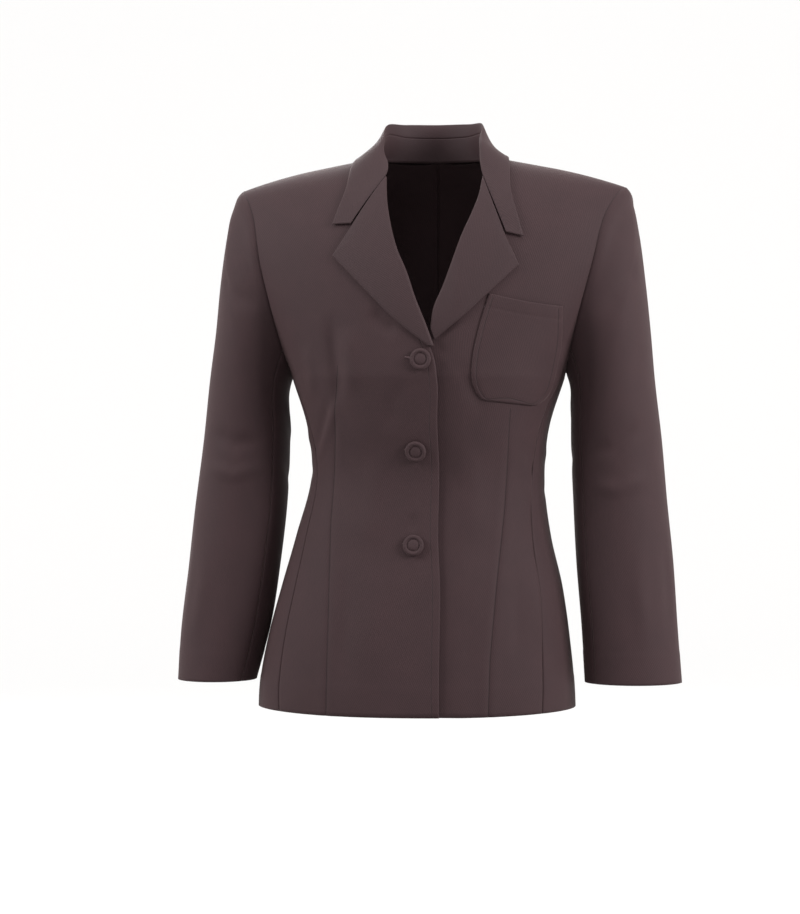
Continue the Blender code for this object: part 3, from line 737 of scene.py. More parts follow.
@dataclass(frozen=True)
class Suiting:
    """Fine wool gabardine: a steep twill of thin, hard-spun yarn, pressed, matt with a soft nap."""

    name: str
    ground: str
    shade: str
    twill_pitch: float = 2.0 * MM
    twill_angle: float = math.radians(-27.0)
    grain: float = 0.9 * MM
    cloud_scale: float = 28.0
    roughness: float = 0.78
    specular: float = 0.16
    sheen: float = 0.06
    sheen_roughness: float = 0.45
    sheen_tint: str = "d8b8b4"
    # Painted shade along the sewn lines: its width, its colour and how much of it is mixed in.
    seam_width_mm: float = 1.0
    seam_painted_shade: str = "140d0e"
    seam_share: float = 0.62
    bump_strength: float = 0.7
    bump_depth: float = 0.26 * MM

    def material(self) -> bpy.types.Material:
        """Builds the material: twill and grain in colour and bump, with sewn lines sunk in the bump and
        darkened with painted shade.
        """
        made = bpy.data.materials.new(self.name)
        made.use_nodes = True
        tree = made.node_tree
        shader = tree.nodes["Principled BSDF"]
        shader.inputs["Roughness"].default_value = self.roughness
        shader.inputs["Metallic"].default_value = 0.0
        shader.inputs["Specular IOR Level"].default_value = self.specular
        shader.inputs["Sheen Weight"].default_value = self.sheen
        shader.inputs["Sheen Roughness"].default_value = self.sheen_roughness
        shader.inputs["Sheen Tint"].default_value = linear(self.sheen_tint)
        flat = add_node(tree, "ShaderNodeUVMap", {"uv_map": "Weave"}).outputs["UV"]
        turn = {"Rotation": (0.0, 0.0, self.twill_angle)}
        turned = add_node(tree, "ShaderNodeMapping", turn, {"Vector": flat}).outputs["Vector"]
        # The twill's diagonal ribs. Real ones are half a millimetre apart: these are coarser, to show.
        waves = {
            "wave_type": "BANDS",
            "bands_direction": "X",
            "Scale": (2 * math.pi / 20) / self.twill_pitch,
            "Distortion": 1.2,
            "Detail": 1.0,
        }
        twill = add_node(tree, "ShaderNodeTexWave", waves, {"Vector": turned}).outputs["Fac"]
        fine = {"Scale": 1 / self.grain, "Detail": 2.0, "Roughness": 0.6}
        grain = add_node(tree, "ShaderNodeTexNoise", fine, {"Vector": flat}).outputs["Fac"]
        # Wider cloudiness, where the nap lies one way or the other.
        wide = {"Scale": self.cloud_scale, "Detail": 2.0, "Roughness": 0.5}
        cloud = add_node(tree, "ShaderNodeTexNoise", wide, {"Vector": flat}).outputs["Fac"]
        ribbed = {"operation": "MULTIPLY_ADD", 1: 0.30}
        ribs = add_node(tree, "ShaderNodeMath", ribbed, {0: twill, 2: grain}).outputs[0]
        speckled = {"From Min": 0.32, "From Max": 1.0, "To Min": 0.0, "To Max": 1.0}
        speck = add_node(tree, "ShaderNodeMapRange", speckled, {"Value": ribs}).outputs["Result"]
        added = {"operation": "MULTIPLY_ADD", 1: 0.35}
        clouded = add_node(tree, "ShaderNodeMath", added, {0: cloud, 2: speck}).outputs[0]
        stretched = {"From Min": 0.0, "From Max": 1.35, "To Min": -0.25, "To Max": 1.2, "clamp": False}
        tone = add_node(tree, "ShaderNodeMapRange", stretched, {"Value": clouded}).outputs["Result"]
        shades = {"data_type": "RGBA", 6: linear(self.shade), 7: linear(self.ground)}
        yarn = add_node(tree, "ShaderNodeMix", shades, {"Factor": tone}).outputs[2]
        # Sewn lines: the cloth dips to the thread in the bump, and a darker colour painted along them stands
        # in for the shade in their grooves.
        signed = add_node(tree, "ShaderNodeAttribute", {"attribute_name": "seam_mm"}).outputs["Fac"]
        away = add_node(tree, "ShaderNodeMath", {"operation": "ABSOLUTE"}, {0: signed}).outputs[0]
        near = {
            "interpolation_type": "SMOOTHSTEP",
            "From Min": 0.0,
            "From Max": self.seam_width_mm,
            "To Min": 1.0,
            "To Max": 0.0,
        }
        sewn = add_node(tree, "ShaderNodeMapRange", near, {"Value": away}).outputs["Result"]
        shaded = {"operation": "MULTIPLY", 1: self.seam_share}
        dark = add_node(tree, "ShaderNodeMath", shaded, {0: sewn}).outputs[0]
        # Mixes the painted seam shade into the cloth's colour along the sewn lines.
        thread = {"data_type": "RGBA", 7: linear(self.seam_painted_shade)}
        colour = add_node(tree, "ShaderNodeMix", thread, {"Factor": dark, 6: yarn}).outputs[2]
        dipped = {"operation": "MULTIPLY_ADD", 1: -1.6}
        relief = add_node(tree, "ShaderNodeMath", dipped, {0: sewn, 2: ribs}).outputs[0]
        depths = {"Strength": self.bump_strength, "Distance": self.bump_depth}
        bump = add_node(tree, "ShaderNodeBump", depths, {"Height": relief}).outputs["Normal"]
        tree.links.new(colour, shader.inputs["Base Color"])
        tree.links.new(bump, shader.inputs["Normal"])
        return made


# Dark brown gabardine, woven and steamed: matt, with a fine slanting rib and a faint warm nap.
COAT_CLOTH = Suiting("wool_gabardine", "2c1c1e", "1e1315")
# The same cloth pressed over canvas: flatter, with a little more sheen along the lapels and the collar.
LAPEL_CLOTH = Suiting(
    "wool_gabardine_pressed_on_canvas", "2a1b1d", "1f1416", roughness=0.72, sheen=0.08
)
# The same cloth stretched over a button blank: its ribs look closer.
BUTTON_CLOTH = Suiting(
    "wool_gabardine_over_button_blank", "2c1d1f", "211618", twill_pitch=1.2 * MM
)
# Silk twist, wound and waxed: paler than the cloth, with a soft gloss.
BUTTONHOLE_THREAD = Suiting(
    "buttonhole_twist_silk", "4a383a", "33262a", twill_pitch=0.8 * MM, roughness=0.55
)


# --- Panels -----------------------------------------------------------------------------------------


def sunk_seams(
    grid: Array,
    borders: Sequence[tuple[Border, float | Array]],
    depth: float = 0.7 * MM,
    reach: float = 2.0 * MM,
) -> Array:
    """Rolls a panel's sewn borders in: a bell of the distance to each border, along the normal.

    Args:
        grid: the panel's points.
        borders: each sewn border, and the share of the depth that it sinks by.
        depth: how far a full seam sinks.
        reach: how far from the seam the cloth bends.

    Returns:
        The points moved in.
    """
    dent = np.zeros(grid.shape[:2])
    for border, share in borders:
        dent = np.maximum(dent, depth * share * bell(border_distance(grid, border), reach))
    return grid - normals_of(grid) * dent[..., None]


def seam_line(grid: Array, borders: Sequence[Border], faint: float = 0.30) -> Array:
    """Millimetres to the nearest sewn border, and a little more to keep its painted seam shade faint."""
    return np.minimum.reduce([border_distance(grid, border) for border in borders]) / MM + faint


def armhole_share(rows: int, low_rows: int, share: float = 0.35) -> Array:
    """The depth's share down a torso panel's outer border: full along the seam, less at the armhole."""
    above = smoothstep((np.arange(rows) - low_rows + 6) / 6.0)
    return (1 - above * (1 - share))[:, None]


def crowded(line: Array, ends: float = 0.35) -> Array:
    """Respaces a line's points so that they stand closer near both of its ends.

    The share along the line is eased by a part of its own smooth step.
    """
    count = len(line)
    even = np.linspace(0.0, 1.0, count)
    eased = even * (1 - ends) + smoothstep(even) * ends
    places = eased * (count - 1)
    known = np.arange(count)
    return np.stack([np.interp(places, known, values) for values in line.T], -1)


@dataclass(frozen=True)
class HemFold:
    """The turned-up hem, which makes the cloth a little thicker up to its blind stitches."""

    depth: float = 36 * MM
    height: float = 0.30 * MM

    def lift(self, distance: Array) -> Array:
        """How far the cloth stands out at a distance from the hem."""
        return self.height * smoothstep((self.depth - distance) / (3 * MM))


HEM_FOLD = HemFold()


@dataclass(frozen=True)
class FrontPanel:
    """One front, from its edge and break line to the side seam, the armhole and the shoulder."""

    side: Side
    edge: tuple[Point2, ...]
    roll: tuple[Point2, ...]
    dart: tuple[Point2, ...]
    creases: tuple[Crease, ...]
    fold_inset: float = 4.4 * MM
    low_rows: int = 110
    high_rows: int = 105
    columns: int = 104
    stitch_from_edge: float = 8.5 * MM
    stitch_past_edge: float = 0.03
    stitch_faint_mm: float = 0.45
    dart_point: float = 0.25
    dart_depth: float = 0.70 * MM
    dart_reach: float = 1.4 * MM
    dart_swell: float = 0.45 * MM
    swell_place: float = 6 * MM
    swell_reach: float = 5 * MM
    edge_roll: float = 0.5 * MM
    edge_reach: float = 1.1 * MM
    shoulder_share: float = 0.7

    def outline(self) -> tuple[Array, int]:
        """The edge and break line as angles and levels, and the number of the edge's last point."""
        sign = self.side.value
        places = list(self.edge) + [(x + self.fold_inset * sign, z) for x, z in self.roll]
        places.append((sign * TORSO.neck_point_x, 0.0))
        x, z = np.array(places).T
        angle, level = TORSO.on_front(x, np.minimum(z, TORSO.shoulder_height(np.abs(x))))
        angle[-1] = sign * TORSO.neck_angle()
        level[-1] = 1.0
        return pair(angle, level), len(self.edge)

    def grid(self) -> Array:
        """The outer surface: a Coons patch of angles and levels on the torso, columns towards +x."""
        sign = self.side.value
        line, low = self.outline()
        below = spaced(line[: low + 1], self.low_rows + 1)
        above = spaced(line[low:], self.high_rows + 1)
        inner = np.concatenate([below, above[1:]])
        seam = TORSO.side_seam(SIDE_FRONT_PHI, FRONT_SEAM_STEP, self.low_rows + 1)
        hole = TORSO.armhole_line(FRONT_SEAM_STEP, 0, self.high_rows + 1)
        outer = np.concatenate([seam, hole[1:]]) * (sign, 1.0)
        hem = crowded(TORSO.hem_line(inner[0, 0], outer[0, 0], self.columns + 1))
        top = crowded(spaced([inner[-1], outer[-1]], self.columns + 1))
        inner[0] = hem[0]
        places = patch(hem, top, inner, outer)
        points = TORSO.point(places[..., 0], places[..., 1])
        return points[:, ::-1] if self.side is Side.RIGHT else points

    def build(self, finish: bpy.types.Material) -> bpy.types.Object:
        """Makes the front: creased, with its dart and side seam sunk and its edge stitched."""
        grid = self.grid()
        normal = normals_of(grid)
        x = grid[..., 0]
        z = grid[..., 2]
        dart, share = line_distance(self.dart, x, z)
        point = smoothstep(share / self.dart_point)
        within = np.where(share > 0, 1.0, 0.0)
        offset = lifted(self.creases, x, z)
        swell = bell(np.abs(dart) - self.swell_place, self.swell_reach)
        offset -= self.dart_depth * bell(dart, self.dart_reach) * point * within
        offset += self.dart_swell * swell * point * within
        offset += HEM_FOLD.lift(border_distance(grid, Border.BOTTOM))
        if self.side is Side.LEFT:
            offset -= TORSO.lap(x, z)
        edge_border = Border.LAST_COLUMN if self.side is Side.RIGHT else Border.FIRST_COLUMN
        seam_border = Border.FIRST_COLUMN if self.side is Side.RIGHT else Border.LAST_COLUMN
        edge = border_distance(grid, edge_border)
        offset -= self.edge_roll * bell(edge, self.edge_reach)
        outer = armhole_share(len(grid), self.low_rows)
        sewn_borders = [(seam_border, outer), (Border.TOP, self.shoulder_share)]
        grid = sunk_seams(grid + normal * offset[..., None], sewn_borders)
        stitch = (edge - self.stitch_from_edge) / MM
        stitched = (z < self.edge[-1][1] + self.stitch_past_edge) & (self.side is Side.RIGHT)
        sewn = np.where(within > 0, dart / MM + 0.5 * (1 - point), FAR_MM)
        faint = np.where(stitched, np.sign(stitch) * (np.abs(stitch) + self.stitch_faint_mm), FAR_MM)
        nearest = np.where(np.abs(sewn) < np.abs(faint), sewn, faint)
        joined = seam_line(grid, [seam_border, Border.TOP])
        nearest = np.where(np.abs(nearest) < joined, nearest, joined)
        name = f"front_{self.side.word}"
        return cloth_piece(name, grid, finish, {"seam_mm": nearest})


@dataclass(frozen=True)
class SidePanel:
    """The panel under the arm, between the front's seam and the back's."""

    side: Side
    creases: tuple[Crease, ...]
    rows: int = 110
    columns: int = 56

    def build(self, finish: bpy.types.Material) -> bpy.types.Object:
        """Makes the side panel, its creases given as y and z."""
        sign = self.side.value
        left = TORSO.side_seam(SIDE_FRONT_PHI, FRONT_SEAM_STEP, self.rows + 1)
        right = TORSO.side_seam(SIDE_BACK_PHI, BACK_SEAM_STEP, self.rows + 1)
        top = TORSO.armhole_line(FRONT_SEAM_STEP, BACK_SEAM_STEP, self.columns + 1)
        bottom = TORSO.hem_line(left[0, 0], right[0, 0], self.columns + 1)
        places = patch(bottom, top, left, right)
        grid = TORSO.point(places[..., 0] * sign, places[..., 1])
        if self.side is Side.RIGHT:
            grid = grid[:, ::-1]
        offset = lifted(self.creases, grid[..., 1], grid[..., 2])
        offset += HEM_FOLD.lift(border_distance(grid, Border.BOTTOM))
        grid = grid + normals_of(grid) * offset[..., None]
        grid = sunk_seams(
            grid, [(Border.FIRST_COLUMN, 1.0), (Border.LAST_COLUMN, 1.0), (Border.TOP, 0.35)]
        )
        name = f"side_{self.side.word}"
        marks = {"seam_mm": seam_line(grid, [Border.FIRST_COLUMN, Border.LAST_COLUMN, Border.TOP])}
        return cloth_piece(name, grid, finish, marks)


@dataclass(frozen=True)
class BackPanel:
    """Half the back, from the side seam and the armhole to the centre seam."""

    side: Side
    creases: tuple[Crease, ...]
    low_rows: int = 110
    high_rows: int = 91
    shoulder_columns: int = 40
    neck_columns: int = 26

    def build(self, finish: bpy.types.Material) -> bpy.types.Object:
        """Makes the half back, its creases given as x and z."""
        seam = TORSO.side_seam(SIDE_BACK_PHI, BACK_SEAM_STEP, self.low_rows + 1)
        hole = TORSO.armhole_line(BACK_SEAM_STEP, ARMHOLE_TOP_STEP, self.high_rows + 1)
        outer = np.concatenate([seam, hole[1:]])
        shoulder = spaced([outer[-1], (math.pi - TORSO.neck_angle(), 1.0)], self.shoulder_columns + 1)
        top = np.concatenate([shoulder, TORSO.neckline(self.neck_columns)])
        low = TORSO.hem_line(math.pi, math.pi, 2)[0, 1]
        centre = pair(math.pi, np.linspace(low, top[-1, 1], len(outer)))
        hem = TORSO.hem_line(outer[0, 0], math.pi, len(top))
        places = patch(hem, top, outer, centre)
        grid = TORSO.point(places[..., 0] * self.side.value, places[..., 1])
        if self.side is Side.RIGHT:
            grid = grid[:, ::-1]
        offset = lifted(self.creases, grid[..., 0], grid[..., 2])
        offset += HEM_FOLD.lift(border_distance(grid, Border.BOTTOM))
        grid = grid + normals_of(grid) * offset[..., None]
        outer = armhole_share(len(grid), self.low_rows)
        sides = (outer, 1.0) if self.side is Side.LEFT else (1.0, outer)
        grid = sunk_seams(
            grid, [(Border.FIRST_COLUMN, sides[0]), (Border.LAST_COLUMN, sides[1]), (Border.TOP, 0.5)]
        )
        name = f"back_{self.side.word}"
        marks = {"seam_mm": seam_line(grid, [Border.FIRST_COLUMN, Border.LAST_COLUMN, Border.TOP])}
        return cloth_piece(name, grid, finish, marks)


# --- Sleeves ----------------------------------------------------------------------------------------


@dataclass(frozen=True)
class Sleeve:
    """A set-in two-piece sleeve: a tube of ellipses, eased at its head into the armhole."""

    side: Side
    table: tuple[tuple[float, ...], ...]
    creases: tuple[Crease, ...]
    cuff_z: float = -0.582
    blend: Point2 = (0.030, 0.090)
    row_power: float = 1.35
    tuck: float = 4.0 * MM
    rows: int = 190
    top_columns: int = 108
    under_columns: int = 46
    head_rise: float = 2.2 * MM
    head_reach: float = 9 * MM
    degree: float = 0.98 * MM

    def size(self, name: str, height: Array) -> Array:
        """One of the sleeve table's sizes at a height."""
        heights = column(self.table, SLEEVE_COLUMNS, "height")
        return smooth(heights, column(self.table, SLEEVE_COLUMNS, name), height)

    def tube(self, turn: Array, height: Array) -> Array:
        """Points of the plain tube: turn 0 is its outer side and a quarter turn its front."""
        outer = self.size("outer", height)
        inner = self.size("inner", height)
        x = 0.5 * (outer + inner) + 0.5 * (outer - inner) * np.cos(turn)
        y = self.size("centre_y", height) - self.size("half_depth", height) * np.sin(turn)
        return np.stack([x, y, height], -1)

    def grid(self, first: int, last: int, columns: int) -> tuple[Array, Array]:
        """The sleeve between two turn steps.

        Each column starts at its armhole point. Its distance from the plain tube there fades out down
        the column with the square of what is left of the blend.

        Args:
            first: the turn step of the first column.
            last: the turn step of the last column.
            columns: how many columns lie between them.

        Returns:
            The points, rows up from the cuff, and each point's turn in degrees.
        """
        sign = self.side.value
        turn = np.linspace(first, last, columns + 1)[None, :] * TURN_STEP
        angle, level = TORSO.on_armhole(turn)
        hole = TORSO.point(angle * sign, level)
        share = np.linspace(0.0, 1.0, self.rows + 1)[:, None] ** self.row_power
        height = hole[..., 2] + (self.cuff_z - hole[..., 2]) * share
        blend = self.blend[0] + (self.blend[1] - self.blend[0]) * np.sin(turn) ** 2
        ease = np.clip(1 - (hole[..., 2] - height) / blend, 0.0, 1.0) ** 2
        tube = self.tube(np.broadcast_to(turn, height.shape), height)
        start = self.tube(turn, hole[..., 2])
        points = tube + (hole - start) * ease[..., None]
        degrees = np.broadcast_to(np.degrees(turn), height.shape)
        if self.side is Side.LEFT:
            points = points[:, ::-1]
            degrees = degrees[:, ::-1]
        return points[::-1], degrees[::-1]

    def build(self, finish: bpy.types.Material) -> list[bpy.types.Object]:
        """Makes the top sleeve and the under sleeve, creased, with their seams sunk."""
        made = []
        for part, first, last, columns in (
            ("top", BACK_ARM_STEP - ARMHOLE_TOP_STEP, INSEAM_STEP, self.top_columns),
            ("under", INSEAM_STEP, BACK_ARM_STEP, self.under_columns),
        ):
            grid, degrees = self.grid(first, last, columns)
            offset = lifted(self.creases, degrees * self.degree, grid[..., 2])
            offset += HEM_FOLD.lift(border_distance(grid, Border.BOTTOM))
            down = border_distance(grid, Border.TOP)
            crown = smoothstep((np.cos(np.radians(degrees)) + 0.15) / 0.9)
            offset += self.head_rise * bell(down - self.head_reach, self.head_reach) * crown
            grid = grid + normals_of(grid) * offset[..., None]
            grid = sunk_seams(
                grid, [(Border.FIRST_COLUMN, 1.0), (Border.LAST_COLUMN, 1.0), (Border.TOP, 0.8)]
            )
            sewn = seam_line(grid, [Border.FIRST_COLUMN, Border.LAST_COLUMN, Border.TOP])
            tucked = grid[-1:] - (self.side.value * self.tuck, 0.0, 0.0)
            grid = np.concatenate([grid, tucked])
            name = f"{part}_sleeve_{self.side.word}"
            marks = {"seam_mm": np.concatenate([sewn, sewn[-1:]])}
            made.append(cloth_piece(name, grid, finish, marks))
        return made


# --- Lapels and collar ------------------------------------------------------------------------------


@dataclass(frozen=True)
class Lapel:
    """A lapel: round its fold along the break line, then over the front to its edge, tip and notch."""

    side: Side
    roll: tuple[Point2, ...]
    edge: tuple[Point2, ...]
    notch: Point2
    fold_radius: float = 2.8 * MM
    fold_clear: float = 1.2 * MM
    lift_end: float = 3.3 * MM
    below: int = 130
    above: int = 34
    fold_columns: int = 16
    flat_columns: int = 56
    swell: float = 1.3 * MM
    edge_roll: float = 0.55 * MM
    edge_reach: float = 1.2 * MM

    def build(self, finish: bpy.types.Material) -> bpy.types.Object:
        """Makes the lapel.

        Across a row, the fold is a half circle of the fold's radius, and the flat runs on from its top
        to the outer edge, with a slight swell between and the edge pressed down.
        """
        tip = self.edge[-1]
        roll_line = spaced(self.roll, self.below + self.above + 1)
        upper = crowded(spaced([tip, self.notch], self.above + 1), 0.5)
        outer = np.concatenate([spaced(self.edge, self.below + 1), upper[1:]])
        across = outer - roll_line
        width = np.linalg.norm(across, axis=1)[:, None]
        turn = np.linspace(-math.pi / 2, math.pi / 2, self.fold_columns + 1)[:-1]
        fold_along = self.fold_radius * (1 - np.cos(turn))
        fold_lift = self.fold_clear + self.fold_radius * np.sin(turn)
        flat = np.linspace(0.0, 1.0, self.flat_columns + 1)
        flat_along = self.fold_radius + (width - self.fold_radius) * flat[None, :]
        fold_top = self.fold_clear + self.fold_radius
        flat_lift = fold_top + (self.lift_end - fold_top) * flat
        folded = np.broadcast_to(fold_along, (len(width), len(turn)))
        along = np.concatenate([folded, flat_along], axis=1)
        lift = np.broadcast_to(np.concatenate([fold_lift, flat_lift]), along.shape).copy()
        share = np.clip(along / np.maximum(width, NEARLY_ZERO), 0.0, 1.0)
        room = smoothstep((width - 10 * MM) / (40 * MM))
        lift += self.swell * np.sin(np.pi * share) * room
        edge_run = width - along
        lift -= self.edge_roll * bell(edge_run, self.edge_reach)
        place = roll_line[:, None] + across[:, None] * (along / width)[..., None]
        x = place[..., 0]
        z = place[..., 1]
        if self.side is Side.LEFT:
            lift = lift - TORSO.lap(x, z)
        grid = TORSO.front_surface(x, z, lift)
        stitch = np.abs(edge_run / MM - STITCH_IN_MM) + 0.5
        if self.side is Side.RIGHT:
            grid = grid[:, ::-1]
            stitch = stitch[:, ::-1]
        name = f"lapel_{self.side.word}"
        marks = {"seam_mm": stitch}
        return cloth_piece(name, grid, finish, marks, THIN)


@dataclass(frozen=True)
class Collar:
    """The turned collar: a stand inside, and a leaf over the fold that lies on the coat."""

    lift: float = 3.6 * MM
    gorge_gap: float = 1.7 * MM
    gorge_shares: tuple[float, ...] = (0.05, 0.5, 1.0)
    front_edge: Point2 = (0.0905, -0.0440)
    stand_least: float = 13 * MM
    stand_bend: float = 0.3
    stand_tuck: float = 3.0 * MM
    stand_share: float = 0.995
    rows: int = 300
    leaf_columns: int = 44
    stand_columns: int = 16
    edge_roll: float = 0.5 * MM
    edge_reach: float = 1.2 * MM

    def stations(self, roll_end: Point2, notch: Point2, tip: Point2, side: Side) -> Array:
        """The collar's cross-sections on one side, from the nape to its end at the notch."""
        sign = side.value
        stations = [[(sign * x, y, z) for x, y, z in row] for row in COLLAR_BACK]
        shoulder_edge = np.array((sign * self.front_edge[0], self.front_edge[1]))
        for share in self.gorge_shares:
            inner = np.array(roll_end) * (1 - share) + np.array(notch) * share
            inner += (sign * self.gorge_gap * share, self.gorge_gap)
            outer = shoulder_edge * (1 - share) + np.array(tip) * share
            knots = inner + (outer - inner) * np.linspace(0.0, 1.0, 4)[:, None]
            leaf = TORSO.front_surface(knots[:, 0], knots[:, 1], np.full(4, self.lift))
            stations.append([leaf[0], *leaf])
        return np.array(stations, float)

    def lines(self) -> Array:
        """The five shaping points of the whole collar, from its right end to its left end."""
        left = self.stations(LEFT_ROLL[-1], LEFT_NOTCH, LEFT_TIP, Side.LEFT)
        right = self.stations(RIGHT_ROLL[-1], RIGHT_NOTCH, RIGHT_TIP, Side.RIGHT)
        stations = np.concatenate([right[::-1], left[1:]])
        middle = stations[:, 1:].mean(axis=1)
        run = np.concatenate([[0.0], np.cumsum(np.linalg.norm(np.diff(middle, axis=0), axis=1))])
        at = np.linspace(0.0, run[-1], self.rows + 1)
        flat = stations.reshape(len(stations), -1)
        return np.stack([smooth(run, values, at) for values in flat.T], -1).reshape(self.rows + 1, 5, 3)

    def build(self, finish: bpy.types.Material) -> list[bpy.types.Object]:
        """Makes the leaf, each row a cubic curve of its shaping points, and the stand, a bent band."""
        lines = self.lines()
        share = np.linspace(0.0, 1.0, self.leaf_columns + 1)[None, :, None]
        rest = 1 - share
        start, leave, arrive, end = (lines[:, None, index] for index in range(1, 5))
        near_fold = rest**3 * start + 3 * rest**2 * share * leave
        leaf = (near_fold + 3 * rest * share**2 * arrive + share**3 * end)[:, ::-1]
        edge = border_distance(leaf, Border.FIRST_COLUMN)
        leaf = leaf - normals_of(leaf) * (self.edge_roll * bell(edge, self.edge_reach))[..., None]
        stitch = np.abs(edge / MM - STITCH_IN_MM) + 0.5
        marks = {"seam_mm": stitch}
        made = [
            cloth_piece(
                "collar_leaf", leaf, finish, marks, THIN
            )
        ]
        seam = lines[:, 0]
        fold = lines[:, 1]
        tall = np.linalg.norm(fold - seam, axis=1) > self.stand_least
        over = np.linspace(0.0, self.stand_share, self.stand_columns + 1)[None, :, None]
        bend = fold - (lines[:, 2] - fold) * self.stand_bend
        low = seam[tall, None] * (1 - over) ** 2
        stand = low + 2 * bend[tall, None] * over * (1 - over) + fold[tall, None] * over**2
        stand = np.concatenate([stand[:, :1] - (0.0, 0.0, self.stand_tuck), stand], axis=1)
        made.append(
            cloth_piece("collar_stand", stand[:, ::-1], finish, None, THIN)
        )
        return made


# --- Pocket, buttons and buttonholes -------------------------------------------------------------------


def seat(base: bpy.types.Object, x: Array, z: Array, lift: Array | float) -> Array:
    """Points over a finished piece, seen from the front at x and z, moved out by the lift."""
    rows = [tuple(vertex.co) for vertex in base.data.vertices]
    faces = [tuple(face.vertices) for face in base.data.polygons]
    tree = BVHTree.FromPolygons(rows, faces)
    places = zip(x.flat, z.flat, strict=True)
    hits = [tree.ray_cast((over, -1.0, up), (0.0, 1.0, 0.0))[0] for over, up in places]
    outward = TORSO.front_surface(x, z, 1.0) - TORSO.front_surface(x, z, 0.0)
    return np.array(hits).reshape(*x.shape, 3) + outward * np.asarray(lift)[..., None]


@dataclass(frozen=True)
class Pocket:
    """The patch pocket on the left breast, edge-stitched, its mouth turned down and open a little."""

    corner_share: float = 0.22
    corner_inset: float = 0.21
    rise: float = 2.1 * MM
    mouth_lift: float = 1.2 * MM
    mouth_reach: float = 14 * MM
    mouth_sag: float = 2.0 * MM
    mouth_fold: float = 0.35 * MM
    fold_reach: float = 1.2 * MM
    edge_press: float = 0.75 * MM
    stitch_press: float = 0.35 * MM
    press_reach: float = 1.6 * MM
    stitch_in: float = 5 * MM
    stitch_faint_mm: float = 0.2
    rows: int = 76
    columns: int = 72

    def build(self, base: bpy.types.Object, finish: bpy.types.Material) -> bpy.types.Object:
        """Makes the pocket from the front's own points, moved out.

        Its lower corners are rounded by drawing the rows in as a circle. Its edges are pressed down to
        the front, and the mouth stands off in its middle.
        """
        share = np.linspace(0.0, 1.0, self.rows + 1)
        at = np.linspace(0.0, 1.0, len(POCKET_SIDES))
        left_x, left_z, right_x, right_z = (
            smooth(at, column(POCKET_SIDES, POCKET_COLUMNS, name), share) for name in POCKET_COLUMNS
        )
        corner = np.clip((share - 1 + self.corner_share) / self.corner_share, 0.0, 1.0)
        cut = self.corner_inset * (1 - np.sqrt(1 - corner**2))
        even = np.linspace(0.0, 1.0, self.columns + 1)[None, :]
        over = cut[:, None] + (1 - 2 * cut[:, None]) * even
        x = left_x[:, None] + (right_x - left_x)[:, None] * over
        z = left_z[:, None] + (right_z - left_z)[:, None] * over
        z = z - self.mouth_sag * np.sin(np.pi * even) * (1 - share[:, None]) ** 3
        flat = np.stack([x, z], -1)
        sewn = (Border.FIRST_COLUMN, Border.LAST_COLUMN, Border.TOP)
        near = np.minimum.reduce([border_distance(flat, border) for border in sewn])
        mouth = border_distance(flat, Border.BOTTOM)
        lift = self.rise - self.edge_press * bell(near, self.press_reach)
        lift = lift - self.stitch_press * bell(near - self.stitch_in, self.press_reach)
        lift = lift + self.mouth_lift * bell(mouth, self.mouth_reach) * np.sin(np.pi * even) ** 0.7
        lift = lift - self.mouth_fold * bell(mouth - self.mouth_reach, self.fold_reach)
        grid = seat(base, x, z, lift)[::-1]
        stitch = np.where(mouth > 2 * MM, (near - self.stitch_in) / MM, FAR_MM)[::-1]
        stitch = np.sign(stitch) * (np.abs(stitch) + self.stitch_faint_mm)
        marks = {"seam_mm": stitch}
        return cloth_piece(
            "breast_pocket", grid, finish, marks, THIN
        )


@dataclass(frozen=True)
class CoveredButton:
    """A button covered with the coat's cloth: a raised rim, a groove, and a low domed middle."""

    number: int
    place: Point2
    radius: float = 11.5 * MM
    clear: float = 0.3 * MM
    ripple: float = 0.004
    ripples: int = 11
    steps: int = 72
    profile_steps: int = 60
    profile: tuple[Point2, ...] = (
        (0.00, 4.9),
        (0.20, 4.85),
        (0.38, 4.5),
        (0.48, 3.9),
        (0.53, 3.35),
        (0.57, 3.15),
        (0.61, 3.35),
        (0.66, 4.1),
        (0.74, 4.6),
        (0.84, 4.6),
        (0.92, 4.1),
        (0.98, 3.2),
        (1.00, 2.4),
        (0.98, 1.5),
        (0.93, 0.8),
        (0.60, 0.55),
        (0.00, 0.5),
    )

    def build(self, base: bpy.types.Object, finish: bpy.types.Material) -> bpy.types.Object:
        """Turns the profile round the button's axis and seats it on the front, facing out."""
        profile = spaced(np.array(self.profile) * (self.radius, MM), self.profile_steps)
        turn = np.linspace(0.0, 2 * math.pi, self.steps + 1)[:-1]
        outer_half = smoothstep(profile[:, :1] / self.radius * 2 - 1)
        ripple = 1 + self.ripple * np.sin(turn * self.ripples + self.number) * outer_half
        radius = np.maximum(profile[:, :1], 0.01 * MM) * ripple
        around = np.stack([radius * np.cos(turn), radius * np.sin(turn), profile[:, 1:] + 0 * turn], -1)
        x, z = (np.array([value]) for value in self.place)
        outward = (TORSO.front_surface(x, z, 1.0) - TORSO.front_surface(x, z, 0.0))[0]
        centre = seat(base, x, z, self.clear)[0]
        across = np.cross((0.0, 0.0, 1.0), outward)
        across /= np.linalg.norm(across)
        upward = np.cross(outward, across)
        grid = centre + around @ np.stack([across, upward, outward])
        name = f"button_{self.number}"
        values = {"seam_mm": np.full(grid.shape[:2], FAR_MM)}
        mesh = mesh_of(f"{name}_cover", grid[::-1], values, wrap=True)
        layer = mesh.uv_layers["Weave"]
        flat = around[::-1, :, :2].reshape(-1, 2)
        corner = np.empty(len(mesh.loops), np.int32)
        mesh.loops.foreach_get("vertex_index", corner)
        layer.data.foreach_set("uv", flat[corner].astype(np.float32).ravel())
        obj = shown(mesh, finish)
        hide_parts(name)
        LOG.info("%s: %d points", name, grid.size // 3)
        return obj


